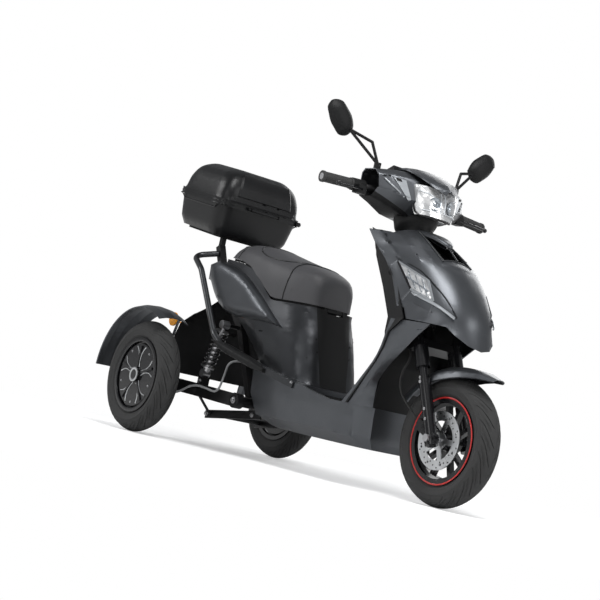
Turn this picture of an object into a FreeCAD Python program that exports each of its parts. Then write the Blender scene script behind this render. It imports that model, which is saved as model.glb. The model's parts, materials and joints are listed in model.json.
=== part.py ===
import FreeCAD
import Part
import math
import os
from FreeCAD import Placement, Rotation, Vector

# An electric three wheeled scooter: one steered front wheel, two rear wheels on trailing arms, a hinged
# seat over a storage bay, and a lidded box on a rack. Millimetres, +X forward, +Y left, +Z up.
# The origin lies on the ground in the middle of the vehicle's length and width.
# Every table below holds shares of the sizes that are named beside it.

# Whole vehicle
overall_length = 1800.0
wheelbase = 1315.0
rear_track = 660.0
steering_rake_deg = 26.0
steering_offset = 34.0
running_gap = 6.0
seat_gap = 0.3
overrun = 5.0
corner_turns = (0.0, 30.0, 60.0, 90.0)

# Tyres and wheels
tyre_radius = 205.0
tyre_width = 88.0
tyre_bead_radius = 128.0
tyre_bead_width = 58.0
rim_flange_radius = 138.0
rim_flange_width = 6.0
rim_well_radius = 112.0
rim_barrel_wall = 5.0
hub_radius = 30.0
hub_width = 62.0
spoke_count = 5
spoke_width = 13.0
spoke_thickness = 20.0
spoke_fork_deg = 15.0
axle_radius = 7.5
axle_clearance = 0.05
axle_nut_radius = 12.0
axle_nut_length = 8.0
disc_radius = 92.0
disc_inner_radius = 62.0
disc_thickness = 4.0
disc_y = 40.0
disc_hole_radius = 4.0
disc_hole_count = 8
disc_arm_count = 5
disc_arm_width = 18.0
motor_radius = 108.0
motor_width = 60.0
motor_boss_radius = 26.0
motor_boss_length = 12.0
motor_rib_count = 5
motor_rib_width = 9.0
motor_rib_height = 5.0
rear_axle_radius = 8.0
rear_nut_radius = 13.0
rear_nut_length = 12.0

# Half outline of a tyre from its bead to its crown, as shares of its height and of its half width
tyre_shares = ((0.0, 0.655), (0.14, 0.655), (0.44, 1.0), (0.76, 0.90), (0.94, 0.50), (1.0, 0.0))

# Fork and steering column
fork_leg_y = 74.0
fork_slider_radius = 19.0
fork_slider_length = 195.0
fork_tube_radius = 14.0
fork_lug_radius = 22.0
fork_lug_width = 24.0
fork_cover_radius = 23.0
fork_cover_length = 72.0
crown_height = 26.0
crown_depth = 50.0
crown_along = 322.0
crown_margin = 18.0
stem_radius = 17.0
stem_top_along = 745.0
head_tube_radius = 27.0
head_tube_low_along = 400.0
head_tube_high_along = 640.0
steering_bearing_clearance = 0.5
caliper_length = 66.0
caliper_width = 34.0
caliper_depth = 34.0
caliper_radius_place = 74.0
caliper_angle_deg = 158.0
caliper_lug_radius = 8.0

# Front fender
front_fender_width = 128.0
front_fender_wall = 3.0
front_fender_clearance = 26.0
front_fender_back_deg = 148.0
front_fender_front_deg = 52.0
front_fender_tip_rise = 40.0
front_fender_side_drop = 46.0
front_fender_steps = 9
front_fender_flare_start_share = 0.45
front_fender_tip_share = 0.38
front_fender_across_shares = (-1.0, -0.90, -0.45, 0.45, 0.90, 1.0)
front_fender_fall_shares = (1.0, 0.42, 0.0, 0.0, 0.42, 1.0)

# Handlebar and controls
bar_height = 968.0
bar_x = 262.0
bar_radius = 11.0
bar_straight_half = 138.0
bar_bend_radius = 250.0
grip_end_y = 362.0
grip_sweep = 18.0
grip_drop = 10.0
grip_radius = 16.5
grip_length = 118.0
grip_flange_radius = 19.0
grip_flange_length = 8.0
pod_radius = 21.0
pod_length = 46.0
pod_box_depth = 34.0
pod_box_height = 28.0
lever_reach = 52.0
lever_drop = 14.0
lever_radius = 4.5
lever_ball_radius = 8.0
lever_knee_share = 0.75
lever_tip_share = 0.25

# Handlebar cover, headlamp, top cover and dial panel
cover_half_width = 190.0
cover_low = 890.0
cover_high = 1046.0
cover_back_x = 205.0
cover_front_x = 418.0
cover_wall = 4.0
# Sections from the wing's end to the middle: half width, then back, front, low and high
cover_shares = ((1.0, 0.10, 0.56, 0.30, 0.90), (0.78, 0.06, 0.74, 0.22, 0.95), (0.45, 0.02, 0.92, 0.06, 0.99),
                (0.0, 0.0, 1.0, 0.0, 1.0))
cover_ring_shares = ((-1.0, -0.55), (-0.80, -1.0), (0.45, -1.0), (1.0, -0.35), (0.82, 0.62), (0.35, 1.0), (-0.75, 1.0),
                     (-1.0, 0.70))
collar_radius = 52.0
collar_bore_radius = 40.0
collar_low_along = 742.0
collar_high_along = 800.0
lamp_half_width = 92.0
lamp_low_z = 908.0
lamp_high_z = 1004.0
lamp_back_x = 348.0
lamp_front_x = 446.0
# Lamp levels from the bottom: height, half width, back and front
lamp_shares = ((0.0, 0.76, 0.42, 1.0), (0.5, 0.95, 0.22, 0.97), (1.0, 1.0, 0.0, 0.80))
lamp_ring_shares = ((0.0, -1.0), (0.55, -1.0), (0.88, -0.72), (1.0, 0.0), (0.88, 0.72), (0.55, 1.0), (0.0, 1.0))
visor_back_x = 262.0
visor_front_x = 462.0
visor_low_z = 990.0
visor_high_z = 1060.0
visor_half_width = 92.0
visor_thickness = 5.0
# Top cover stations from its back end: length, half width and height
visor_shares = ((0.0, 0.80, 1.0), (0.36, 1.0, 0.90), (0.70, 0.86, 0.55), (0.90, 0.50, 0.20), (1.0, 0.16, 0.0))
visor_crown_shares = ((-1.0, 0.0), (-0.55, 0.75), (0.0, 1.0), (0.55, 0.75), (1.0, 0.0))
visor_crown = 14.0
dash_x = 228.0
dash_z = 1042.0
dash_depth = 70.0
dash_half_width = 88.0
dash_thickness = 12.0
dash_tilt_deg = 24.0

# Mirrors
mirror_foot_x = 282.0
mirror_foot_y = 177.0
mirror_foot_z = 1029.0
mirror_foot_radius = 12.0
mirror_foot_height = 22.0
mirror_head_x = 219.0
mirror_head_y = 324.0
mirror_head_z = 1166.0
mirror_head_width = 138.0
mirror_head_height = 84.0
mirror_head_depth = 32.0
mirror_roll_deg = 43.0
mirror_arm_radius = 5.0
mirror_arm_spread = 18.0
mirror_joint_share = 0.74
mirror_knee_share = 0.30
mirror_knee_lift_share = 1.6
mirror_glass_thickness = 2.5
mirror_border = 6.0
# Housing depth stations and their growth, then its six-sided outline
mirror_shares = ((0.0, 1.0), (0.40, 1.0), (1.0, 0.55))
mirror_ring_shares = ((-1.0, -0.25), (-0.72, -0.92), (0.10, -1.0), (0.88, -0.62), (1.0, 0.10), (0.70, 0.86), (-0.35, 1.0),
                      (-0.92, 0.62))

# Front apron
apron_low = 490.0
apron_high = 864.0
apron_width = 340.0
apron_beak_x = 758.0
apron_tip_x = 290.0
apron_corner_x = 540.0
apron_corner_z = 556.0
apron_lip_x = 686.0
apron_lip_z = 551.0
shield_wall = 4.0
# Levels from the bottom: height, rear edge, nose and half width
apron_shares = ((0.0, 0.590, 1.0, 0.835), (0.187, 0.546, 0.932, 0.882), (0.348, 0.476, 0.889, 0.918),
                (0.668, 0.249, 0.681, 0.982), (0.914, 0.022, 0.330, 1.0), (1.0, 0.022, 0.210, 0.41))
# Half outline of one level from the side edge to the nose: forward and across
nose_shares = ((0.0, 1.0), (0.36, 0.94), (0.70, 0.74), (0.86, 0.56), (0.96, 0.32), (1.0, 0.0))
scoop_high_x = 400.0
scoop_low_z = 745.0
scoop_high_z = 815.0
scoop_half_low = 14.0
scoop_half_high = 44.0
scoop_rib_half = 4.0
side_lamp_thickness = 8.0
side_lamp_window = 3.0
side_lamp_inner_y = 34.0
# Outline of a side lamp in the apron's length and height
side_lamp_shares = ((0.346, 0.594), (0.534, 0.441), (0.748, 0.257), (0.491, 0.353))

# Leg panels, knee shield and wheel well
panel_wall = 4.0
floor_height = 262.0
leg_top_z = 551.0
# Levels from the floor: height, then the rear edge's X and Y, then the front edge's X and Y
leg_shares = ((0.0, 0.107, 0.976, 0.312, 0.659), (0.29, 0.250, 0.970, 0.308, 0.659), (0.497, 0.340, 0.959, 0.397, 0.671),
              (0.685, 0.382, 0.941, 0.517, 0.694), (0.860, 0.397, 0.924, 0.641, 0.729), (1.0, 0.412, 0.906, 0.745, 0.741))
leg_bow = 10.0
knee_low_z = 262.0
knee_high_z = 838.0
knee_bulge = 40.0
knee_shoulder_shares = (0.75, 0.62)
# Levels from the floor: height, rear face, side edge, half width at each, and the bulge towards the rider
knee_shares = ((0.0, 0.120, 0.162, 0.94, 0.97, 0.6), (0.247, 0.321, 0.365, 0.91, 0.965, 0.9), (0.340, 0.359, 0.410, 0.89, 0.95, 1.0),
               (0.427, 0.359, 0.432, 0.87, 0.94, 1.0), (0.51, 0.355, 0.545, 0.86, 0.93, 1.0), (0.674, 0.241, 0.436, 0.87, 0.95, 1.0),
               (0.847, 0.107, 0.239, 0.89, 0.98, 0.9), (1.0, 0.013, 0.047, 0.88, 0.99, 0.8))
well_low_z = 262.0
well_high_z = 496.0
well_half_width = 112.0
# Levels from the floor: height and place along the belly's front and the fork's path
well_shares = ((0.0, 0.0), (0.36, 0.28), (0.62, 0.55), (0.84, 0.50), (1.0, 0.50))
well_back_x = 430.0
well_front_x = 464.0

# Lower body, floor and battery
body_low = 128.0
belly_back_x = -262.0
belly_front_x = 436.0
belly_width = 332.0
belly_high = 350.0
belly_wall = 5.0
deck_bend_x = 262.0
footwell_back_x = 88.0
footwell_front_x = 404.0
# Levels from the ground side: height, back end, front end and half width
belly_shares = ((0.0, 0.22, 0.985, 0.68), (0.14, 0.09, 1.0, 0.92), (0.45, 0.02, 1.0, 0.98), (1.0, 0.0, 1.0, 1.0))
# Half outline of a level from the front's middle to the back's middle: along and across
hull_shares = ((1.0, 0.0), (1.0, 0.62), (0.93, 0.90), (0.82, 1.0), (0.30, 1.0), (0.08, 0.90), (0.0, 0.5), (0.0, 0.0))
mat_thickness = 6.0
mat_rib_count = 7
mat_rib_height = 3.0
mat_rib_width = 8.0
mat_margin = 20.0
floor_back_x = 96.0
floor_front_x = 310.0
floor_corner = 30.0
battery_length = 320.0
battery_width = 150.0
battery_height = 62.0
battery_x = 78.0

# Seat body
body_wall = 5.0
body_foot_z = 270.0
body_crest_z = 712.0
body_back_x = -604.0
body_front_x = 84.0
body_width = 306.0
bay_floor_z = 344.0
# Levels from the foot: height, back end, front end and half width
body_shares = ((0.0, 0.66, 1.0, 0.954), (0.158, 0.567, 0.968, 0.98), (0.407, 0.352, 0.924, 1.0), (0.498, 0.227, 0.907, 0.993),
               (0.57, 0.116, 0.892, 0.98), (0.656, 0.026, 0.875, 0.954), (0.77, 0.006, 0.86, 0.915), (1.0, 0.0, 0.82, 0.80))
body_ring_shares = ((1.0, 0.0), (1.0, 0.42), (0.96, 0.66), (0.84, 0.90), (0.62, 1.0), (0.30, 1.0), (0.06, 0.86), (0.0, 0.5),
                    (0.0, 0.0))
# Outline of the side vent in the body's length and height
vent_shares = ((0.394, 0.398), (0.557, 0.405), (0.610, 0.333), (0.683, 0.213), (0.516, 0.276), (0.430, 0.287))
vent_depth = 2.5

# Seat
seat_back_x = -578.0
seat_front_x = -16.0
seat_width = 300.0
seat_bottom_height = 562.0
seat_top_height = 772.0
seat_pan_thickness = 8.0
seat_pan_share = 0.90
# The line that the seat's base follows from its back end: length and height
seat_line_shares = ((-0.4, 0.66), (0.0, 0.657), (0.244, 0.59), (0.372, 0.505), (0.539, 0.267), (0.674, 0.02), (0.722, 0.0),
                    (1.4, 0.0))
# Stations from the seat's back end: length, half width and top
seat_shares = ((0.0, 0.50, 0.82), (0.06, 0.74, 0.95), (0.27, 0.92, 1.0), (0.42, 0.97, 0.93), (0.54, 1.0, 0.86), (0.68, 1.0, 0.785),
               (0.86, 0.84, 0.69), (0.96, 0.64, 0.60), (1.0, 0.46, 0.47))
# Section of the cushion from one lower edge over the top to the other: across and up
cushion_ring_shares = ((-0.96, 0.0), (-1.0, 0.45), (-0.92, 0.82), (-0.55, 0.98), (0.0, 1.0), (0.55, 0.98), (0.92, 0.82), (1.0, 0.45),
                       (0.96, 0.0))
seat_pin_x = -12.0
seat_pin_z = 560.0
seat_pin_radius = 5.0
seat_pin_half = 46.0
seat_ear_radius = 8.0
seat_ear_width = 10.0
seat_knuckle_half = 33.0
seat_notch_margin = 2.0

# Side blades on the seat body: outline and middle in the body's length and height
blade_shares = ((0.012, 0.891), (0.093, 0.932), (0.195, 0.900), (0.297, 0.855), (0.394, 0.787), (0.529, 0.670), (0.616, 0.584),
                (0.738, 0.462), (0.608, 0.480), (0.331, 0.491), (0.224, 0.511), (0.108, 0.622), (0.020, 0.769))
blade_middle_shares = (0.326, 0.701)
blade_inner_y = 120.0
blade_outer_y = 176.0
# Depth from the inner face and growth of the outline
blade_depth_shares = ((0.0, 1.0), (0.72, 1.0), (1.0, 0.80))

# Rear frame, rails, rack and box
frame_tube = 26.0
frame_rail_y = 96.0
frame_floor_z = 178.0
frame_front_x = 384.0
frame_cross_x = 262.0
frame_lap_share = 0.9
rail_lap_share = 0.06
rail_radius = 11.0
footrest_width = 56.0
footrest_height = 32.0
footrest_back_x = -345.0
footrest_back_y = 222.0
footrest_back_z = 376.0
footrest_front_x = -40.0
footrest_front_y = 216.0
footrest_front_z = 310.0
# Pad stations from its back end: length and size
footrest_shares = ((0.0, 0.55), (0.15, 1.0), (0.80, 0.92), (1.0, 0.45))
footrest_ring_shares = ((-1.0, -0.5), (-0.6, -1.0), (0.6, -1.0), (1.0, -0.5), (1.0, 0.5), (0.6, 1.0), (-0.6, 1.0), (-1.0, 0.5))
rail_bracket_thickness = 8.0
rail_bracket_height = 22.0
rail_bracket_front_x = 66.0
rail_bracket_front_z = 283.0
box_back_x = -912.0
box_front_x = -591.0
box_width = 372.0
box_low = 777.0
box_rim_z = 902.0
box_high = 1036.0
box_pitch_deg = 8.5
box_wall = 4.0
box_lip = 8.0
box_rim_thickness = 12.0
box_corner = 48.0
box_hinge_radius = 6.0
box_hinge_pin_radius = 3.0
box_hinge_half = 60.0
# Levels of the box base from its floor, and of the lid from the rim: height and size
box_base_shares = ((0.0, 0.84), (0.16, 0.92), (1.0, 1.0))
box_lid_shares = ((0.0, 1.0), (0.50, 0.95), (0.84, 0.82), (1.0, 0.60))
rack_plate_thickness = 8.0
rack_plate_share = 0.72
rack_stay_half = 9.0

# Rear suspension
arm_pivot_x = -232.0
arm_pivot_z = 190.0
arm_pivot_y = 168.0
arm_width = 30.0
arm_bar_width = 21.0
arm_height = 46.0
arm_axle_y = 262.0
arm_eye_radius = 27.0
arm_end_half = 7.5
arm_bend_share = 0.55
arm_bend_y = 28.0
pivot_pin_radius = 12.0
pivot_tube_radius = 19.0
pivot_tube_half = 148.0
shock_y = 172.0
shock_top_x = -402.0
shock_top_z = 448.0
shock_low_x = -462.0
shock_low_z = 262.0
shock_eye_radius = 15.0
shock_eye_half = 15.0
shock_rod_radius = 7.0
shock_body_radius = 13.0
shock_cup_share = 0.13
shock_cup_thickness = 5.0
shock_body_share = 0.60
shock_mount_half = 16.0
spring_radius = 26.0
spring_wire_radius = 4.2
spring_turns = 7
spring_steps = 6
link_plate_back_x = -490.0
link_plate_back_z = 118.0
link_plate_front_x = -150.0
link_plate_front_z = 158.0
link_plate_height = 30.0
link_plate_thickness = 6.0
link_bar_radius = 9.0
link_rod_radius = 5.0

# Rear guards, lamps and cords
rear_fender_clearance = 54.0
rear_fender_width = 128.0
rear_fender_wall = 3.0
rear_fender_crown = 14.0
rear_fender_back_deg = 178.0
rear_fender_front_deg = 60.0
rear_fender_across_shares = (-1.0, -0.55, 0.0, 0.55, 1.0)
rear_fender_rise_shares = (0.0, 0.75, 1.0, 0.75, 0.0)
rear_stay_radius = 5.0
rear_stay_front_deg = 74.0
rear_stay_back_deg = 150.0
reflector_x = -677.0
reflector_y = 215.0
reflector_z = 437.0
reflector_radius = 26.0
reflector_thickness = 7.0
reflector_stalk_radius = 4.0
splash_low_z = 245.0
splash_high_z = 552.0
splash_back_x = -712.0
splash_front_x = -560.0
splash_half_width = 196.0
splash_bow = 30.0
# Levels of the splash guard from its bottom: height, place and half width
splash_shares = ((0.0, 0.14, 0.92), (0.28, 0.02, 1.0), (0.60, 0.14, 1.0), (0.86, 0.56, 0.66), (1.0, 0.78, 0.52))
splash_bow_shares = ((-1.0, 1.0), (-0.7, 0.25), (0.0, 0.0), (0.7, 0.25), (1.0, 1.0))
tail_lamp_half_width = 76.0
tail_lamp_height = 40.0
tail_lamp_depth = 30.0
tail_lamp_z = 640.0
motor_cable_radius = 4.0
cable_gland_radius = 7.0
brake_hose_radius = 3.5

# Cord routes, chosen by hand along the real runs
motor_cable_route = ((-331.0, 109.0, 330.0), (-331.0, 168.0, 330.0), (-296.0, 200.0, 262.0), (-312.0, 204.0, 200.0),
                     (-378.0, 212.0, 212.0), (-446.0, 226.0, 214.0), (-494.0, 250.0, 172.0), (-545.0, 268.0, 168.0), (-578.0, 262.0, 190.0))
cable_gland_start = (-600.0, 258.0, 205.0)
brake_hose_route = ((526.5, -84.0, 466.1), (540.0, -86.0, 438.5), (528.0, -102.0, 396.0), (532.0, -104.0, 346.0),
                    (552.0, -86.0, 300.0), (590.0, -62.0, 262.0))
side_rail_route = ((-640.0, 109.0, 715.0), (-684.0, 185.0, 690.0), (-583.0, 206.0, 637.0), (-399.0, 212.0, 407.0))
side_rail_radii = (30.0, 60.0, 60.0)
spine_places = ((428.0, 470.0), (426.0, 404.0), (404.0, 320.0))
rail_places = ((-150.0, 178.0), (-252.0, 200.0), (-402.0, 448.0), (-590.0, 628.0), (-650.0, 735.0))

# Places worked out from the sizes above
front_axle_x = overall_length / 2 - tyre_radius
rear_axle_x = front_axle_x - wheelbase
wheel_y = rear_track / 2
rake = math.radians(steering_rake_deg)
front_centre = Vector(front_axle_x, 0, tyre_radius)
steer_up = Vector(-math.sin(rake), 0, math.cos(rake))
steer_ahead = Vector(math.cos(rake), 0, math.sin(rake))
steer_foot = front_centre - steer_ahead * steering_offset


def steer_point(along, ahead=0.0, side=0.0):
    """A point by its height along the steering axis, its distance ahead of that axis and to the left."""
    return steer_foot + steer_up * along + steer_ahead * ahead + Vector(0, side, 0)


def between(low, high, share):
    return low + (high - low) * share


def filled(rows, steps=2):
    """More rows between the given ones, on a smooth curve through them."""
    result = []
    for index in range(len(rows) - 1):
        start, end = rows[index], rows[index + 1]
        before = rows[index - 1] if index else start
        after = rows[index + 2] if index + 2 < len(rows) else end
        for step in range(steps):
            share = step / steps
            ease = share * share * (3 - 2 * share)
            lead = share * (1 - share) ** 2 / 2
            trail = share * share * (share - 1) / 2
            result.append(tuple(between(s, e, ease) + (e - p) * lead + (a - s) * trail
                                for p, s, e, a in zip(before, start, end, after)))
    return result + [rows[-1]]


def polygon(points):
    return Part.makePolygon(points + [points[0]])


def loft(wires):
    return Part.makeLoft(wires, True, True)


def prism(points, reach):
    return Part.Face(polygon(points)).extrude(reach)


def block(x0, x1, y0, y1, z0, z1):
    return Part.makeBox(x1 - x0, y1 - y0, z1 - z0, Vector(x0, y0, z0))


def rod(start, end, radius):
    return Part.makeCylinder(radius, (end - start).Length, start, end - start)


def bar(start, end, width, height):
    """A rectangular bar between two points, its height kept upright."""
    along = end - start
    piece = Part.makeBox(along.Length, width, height)
    piece.translate(Vector(0, -width / 2, -height / 2))
    yaw = math.degrees(math.atan2(along.y, along.x))
    pitch = -math.degrees(math.asin(along.z / along.Length))
    piece.Placement = Placement(start, Rotation(yaw, pitch, 0)).multiply(piece.Placement)
    return piece


def fused(shapes):
    return shapes[0].fuse(shapes[1:]).removeSplitter() if len(shapes) > 1 else shapes[0]


def largest(shape):
    return max(shape.Solids, key=lambda solid: solid.Volume)


def clear_of(shape, others):
    """The main piece of a shape once its neighbours' room is cut away."""
    return largest(shape.cut(others))


def mirrored(shape):
    return shape.mirror(Vector(0, 0, 0), Vector(0, 1, 0))


def both_sides(shape):
    return Part.makeCompound([shape, mirrored(shape)])


def half_ring_z(z, shares, back, front, half_width, tail=0.0):
    """A level section from shares of its length and half width, closed by its own mirror image."""
    side = [Vector(between(back, front, along), half_width * across, z) for along, across in shares]
    if tail:
        side.insert(0, Vector(back - tail, half_width, z))
    other = [Vector(point.x, -point.y, z) for point in reversed(side) if point.y > 0]
    return polygon(side + other)


def rounded_level(z, back, front, half_width, corner):
    """A level rectangle whose corners are rounded off in short straight edges."""
    points = []
    for way_x, way_y in ((1, 1), (-1, 1), (-1, -1), (1, -1)):
        middle_x = (front if way_x > 0 else back) - way_x * corner
        middle_y = way_y * (half_width - corner)
        turns = corner_turns if way_x == way_y else corner_turns[::-1]
        for turn in turns:
            angle = math.radians(turn)
            points.append(Vector(middle_x + way_x * corner * math.cos(angle), middle_y + way_y * corner * math.sin(angle), z))
    return polygon(points)


def bent_path(points, radii):
    """Straight runs joined by tangent arcs, one radius for each inner point."""
    edges = []
    start = points[0]
    for index, radius in enumerate(radii, 1):
        corner = points[index]
        before = (points[index - 1] - corner).normalize()
        after = (points[index + 1] - corner).normalize()
        half_turn = (math.pi - before.getAngle(after)) / 2
        setback = radius * math.tan(half_turn)
        middle = corner + (before + after).normalize() * (radius / math.cos(half_turn) - radius)
        edges.append(Part.LineSegment(start, corner + before * setback).toShape())
        edges.append(Part.Arc(corner + before * setback, middle, corner + after * setback).toShape())
        start = corner + after * setback
    edges.append(Part.LineSegment(start, points[-1]).toShape())
    return Part.Wire(edges)


def tube(points, radius, radii):
    profile = Part.Wire([Part.makeCircle(radius, points[0], points[1] - points[0])])
    return bent_path(points, radii).makePipeShell([profile], True, True)


def largest_radii(points):
    """The largest arc that each corner's two runs leave room for, as a free cable takes."""
    arc_share = 0.45
    radii = []
    for index in range(1, len(points) - 1):
        before = points[index - 1] - points[index]
        after = points[index + 1] - points[index]
        half_turn = (math.pi - before.getAngle(after)) / 2
        radii.append(arc_share * min(before.Length, after.Length) / math.tan(half_turn))
    return radii


def cable(name, route, radius):
    points = [Vector(*place) for place in route]
    radii = largest_radii(points)
    solid = tube(points, radius, radii)
    length = bent_path(points, radii).Length
    print(name, "length", round(length), "least radius", round(min(radii), 1),
          "volume ratio", round(solid.Volume / (math.pi * radius ** 2 * length), 4))
    return solid


def turned(profile, centre):
    """A solid turned about a crosswise axle, from radius and Y pairs."""
    points = [centre + Vector(radius, y, 0) for radius, y in profile]
    return Part.Face(polygon(points)).revolve(centre, Vector(0, 1, 0), 360)


def turned_along(start, way, profile):
    """A solid turned about any axis, from radius and distance pairs."""
    out = way.cross(Vector(0, 1, 0)).normalize()
    points = [start + out * radius + way * along for radius, along in profile]
    return Part.Face(polygon(points)).revolve(start, way, 360)


def around(centre, angle_deg, radius):
    """A point round a crosswise axle, its angle counted from the front upwards."""
    angle = math.radians(angle_deg)
    return centre + Vector(math.cos(angle) * radius, 0, math.sin(angle) * radius)


def save(name, shape):
    shape.exportStep("parts/" + name + ".step")
    box = shape.BoundBox
    print(f"{name:20s} solids {len(shape.Solids)} valid {shape.isValid()} vol {shape.Volume / 1000:9.1f} x {box.XMin:7.1f}"
          f" {box.XMax:7.1f} y {box.YMin:7.1f} {box.YMax:7.1f} z {box.ZMin:7.1f} {box.ZMax:7.1f}")


# Wheels
def make_tyre(centre):
    height = tyre_radius - tyre_bead_radius
    half = [(tyre_bead_radius + height * up, tyre_width / 2 * across) for up, across in tyre_shares]
    profile = [(radius, -y) for radius, y in half] + [(radius, y) for radius, y in reversed(half[:-1])]
    return turned(profile, centre)


def rim_barrel(centre):
    bead = tyre_bead_width / 2
    flange = bead + rim_flange_width
    inner = tyre_bead_radius - rim_barrel_wall
    well = bead / 2
    half = [(tyre_bead_radius, bead), (rim_flange_radius, bead), (rim_flange_radius, flange), (inner, flange),
            (inner, well + rim_barrel_wall), (rim_well_radius, well)]
    return turned([(radius, -y) for radius, y in half] + [(radius, y) for radius, y in reversed(half)], centre)


def spoke(centre, start_deg, end_deg, width, thickness, start_radius, end_radius):
    """A flat spoke between two points round the axle."""
    start = around(centre, start_deg, start_radius)
    end = around(centre, end_deg, end_radius)
    across = (end - start).cross(Vector(0, 1, 0)).normalize() * (width / 2)
    drop = Vector(0, -thickness / 2, 0)
    corners = [start - across + drop, end - across + drop, end + across + drop, start + across + drop]
    return prism(corners, Vector(0, thickness, 0))


def make_front_rim(centre):
    half = Vector(0, hub_width / 2, 0)
    pieces = [rim_barrel(centre), rod(centre - half, centre + half, hub_radius)]
    root_share = 0.35
    for index in range(spoke_count):
        base = 90 + 360 * index / spoke_count
        for side in (-1, 1):
            pieces.append(spoke(centre, base + side * spoke_fork_deg * root_share, base + side * spoke_fork_deg,
                                spoke_width, spoke_thickness, hub_radius * 0.7, rim_well_radius + rim_barrel_wall / 2))
    return fused(pieces).cut(rod(centre - half * 2, centre + half * 2, axle_radius + axle_clearance))


def make_disc(centre):
    near = centre - Vector(0, disc_y, 0)
    far = near - Vector(0, disc_thickness, 0)
    middle = (near + far) / 2
    ring = rod(far, near, disc_radius).cut(rod(far, near, disc_inner_radius))
    pieces = [ring, rod(far, near, hub_radius)]
    for index in range(disc_arm_count):
        turn = 360 * index / disc_arm_count
        pieces.append(spoke(middle, turn, turn, disc_arm_width, disc_thickness, hub_radius * 0.8, disc_inner_radius + overrun))
    reach = Vector(0, overrun, 0)
    holes = [rod(far - reach, centre, axle_radius + axle_clearance)]
    for index in range(disc_hole_count):
        place = around(far, 360 * (index + 0.5) / disc_hole_count, (disc_radius + disc_inner_radius) / 2)
        holes.append(rod(place - reach, place + reach * 2, disc_hole_radius))
    spacer = rod(near, centre - Vector(0, hub_width / 2, 0), hub_radius * 0.8)
    return fused(pieces + [spacer]).cut(holes)


def make_rear_hub(centre):
    """A hub motor in a steel barrel, with raised ribs on its outer cover."""
    half = motor_width / 2
    face = Vector(0, half, 0)
    drum = rod(centre - face, centre + face, rim_well_radius + rim_barrel_wall / 2)
    boss = rod(centre, centre + Vector(0, half + motor_boss_length, 0), motor_boss_radius)
    pieces = [rim_barrel(centre), drum, boss]
    cover = centre + Vector(0, half + motor_rib_height / 2 - seat_gap, 0)
    for index in range(motor_rib_count):
        turn = 90 + 360 * index / motor_rib_count
        pieces.append(spoke(cover, turn, turn, motor_rib_width, motor_rib_height, motor_boss_radius * 0.8, motor_radius))
    reach = Vector(0, half + overrun, 0)
    return fused(pieces).cut(rod(centre - reach, centre + face, rear_axle_radius + axle_clearance))


# Fork
def fork_leg_axis():
    axle = front_centre + Vector(0, fork_leg_y, 0)
    return axle - steer_up * fork_lug_radius


def fork_envelope():
    """The room that both legs take, for the pieces that fit round them."""
    start = fork_leg_axis()
    crown_low = crown_along - crown_height / 2 + fork_lug_radius
    slider = rod(start, start + steer_up * crown_low, fork_slider_radius + seat_gap)
    sleeve = rod(start + steer_up * (crown_low - fork_cover_length - seat_gap), start + steer_up * crown_low, fork_cover_radius + seat_gap)
    return both_sides(slider.fuse(sleeve))


def make_fork_leg():
    start = fork_leg_axis()
    crown_low = crown_along - crown_height / 2 + fork_lug_radius
    profile = [(0, 0), (fork_slider_radius, 0), (fork_slider_radius, fork_slider_length + fork_lug_radius),
               (fork_tube_radius, fork_slider_length + fork_lug_radius), (fork_tube_radius, crown_low - fork_cover_length),
               (fork_cover_radius, crown_low - fork_cover_length), (fork_cover_radius, crown_low - seat_gap),
               (fork_tube_radius, crown_low - seat_gap), (fork_tube_radius, crown_low + crown_height + overrun),
               (0, crown_low + crown_height + overrun)]
    leg = turned_along(start, steer_up, profile)
    axle = front_centre + Vector(0, fork_leg_y, 0)
    reach = Vector(0, fork_lug_width / 2, 0)
    lug = rod(axle - reach, axle + reach, fork_lug_radius)
    return fused([leg, lug]).cut(rod(axle - reach * 2, axle + reach * 2, axle_radius + axle_clearance))


def make_fork_crown():
    half = fork_leg_y + crown_margin
    crown = Part.makeBox(crown_depth, 2 * half, crown_height)
    crown.translate(Vector(-crown_depth / 2, -half, -crown_height / 2))
    place = steer_point(crown_along, steering_offset / 2)
    crown.Placement = Placement(place, Rotation(Vector(0, 1, 0), -steering_rake_deg)).multiply(crown.Placement)
    column = rod(steer_point(crown_along - crown_height / 2), steer_point(stem_top_along), stem_radius)
    holes = []
    for side in (-1, 1):
        start = steer_point(crown_along - crown_height, steering_offset, side * fork_leg_y)
        holes.append(rod(start, start + steer_up * (2 * crown_height), fork_tube_radius + axle_clearance))
    return fused([crown, column]).cut(holes)


def make_front_axle():
    half = fork_leg_y + fork_slider_radius + axle_nut_length
    end = Vector(0, half, 0)
    nuts = [rod(front_centre + end * side, front_centre + end * side - Vector(0, side * (axle_nut_length - seat_gap), 0), axle_nut_radius)
            for side in (-1, 1)]
    return fused([rod(front_centre - end, front_centre + end, axle_radius)] + nuts)


def make_front_fender():
    """A crowned strip that follows the tyre, with drawn-down sides and a pointed raised tip."""
    wires = []
    for index in range(front_fender_steps):
        share = index / (front_fender_steps - 1)
        angle = between(front_fender_back_deg, front_fender_front_deg, share)
        flare = max(0.0, share - front_fender_flare_start_share) / (1 - front_fender_flare_start_share)
        radius = tyre_radius + front_fender_clearance + front_fender_tip_rise * flare ** 2
        half = front_fender_width / 2 * between(1.0, front_fender_tip_share, flare ** 3)
        drop = front_fender_side_drop * (1 - flare ** 2 * 0.75)
        outer = []
        inner = []
        for across, fall in zip(front_fender_across_shares, front_fender_fall_shares):
            outer.append(around(front_centre, angle, radius + front_fender_wall - drop * fall) + Vector(0, half * across, 0))
            inner.append(around(front_centre, angle, radius - drop * fall) + Vector(0, (half - front_fender_wall) * across, 0))
        wires.append(polygon(outer + inner[::-1]))
    return clear_of(loft(wires), fork_envelope())


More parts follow.
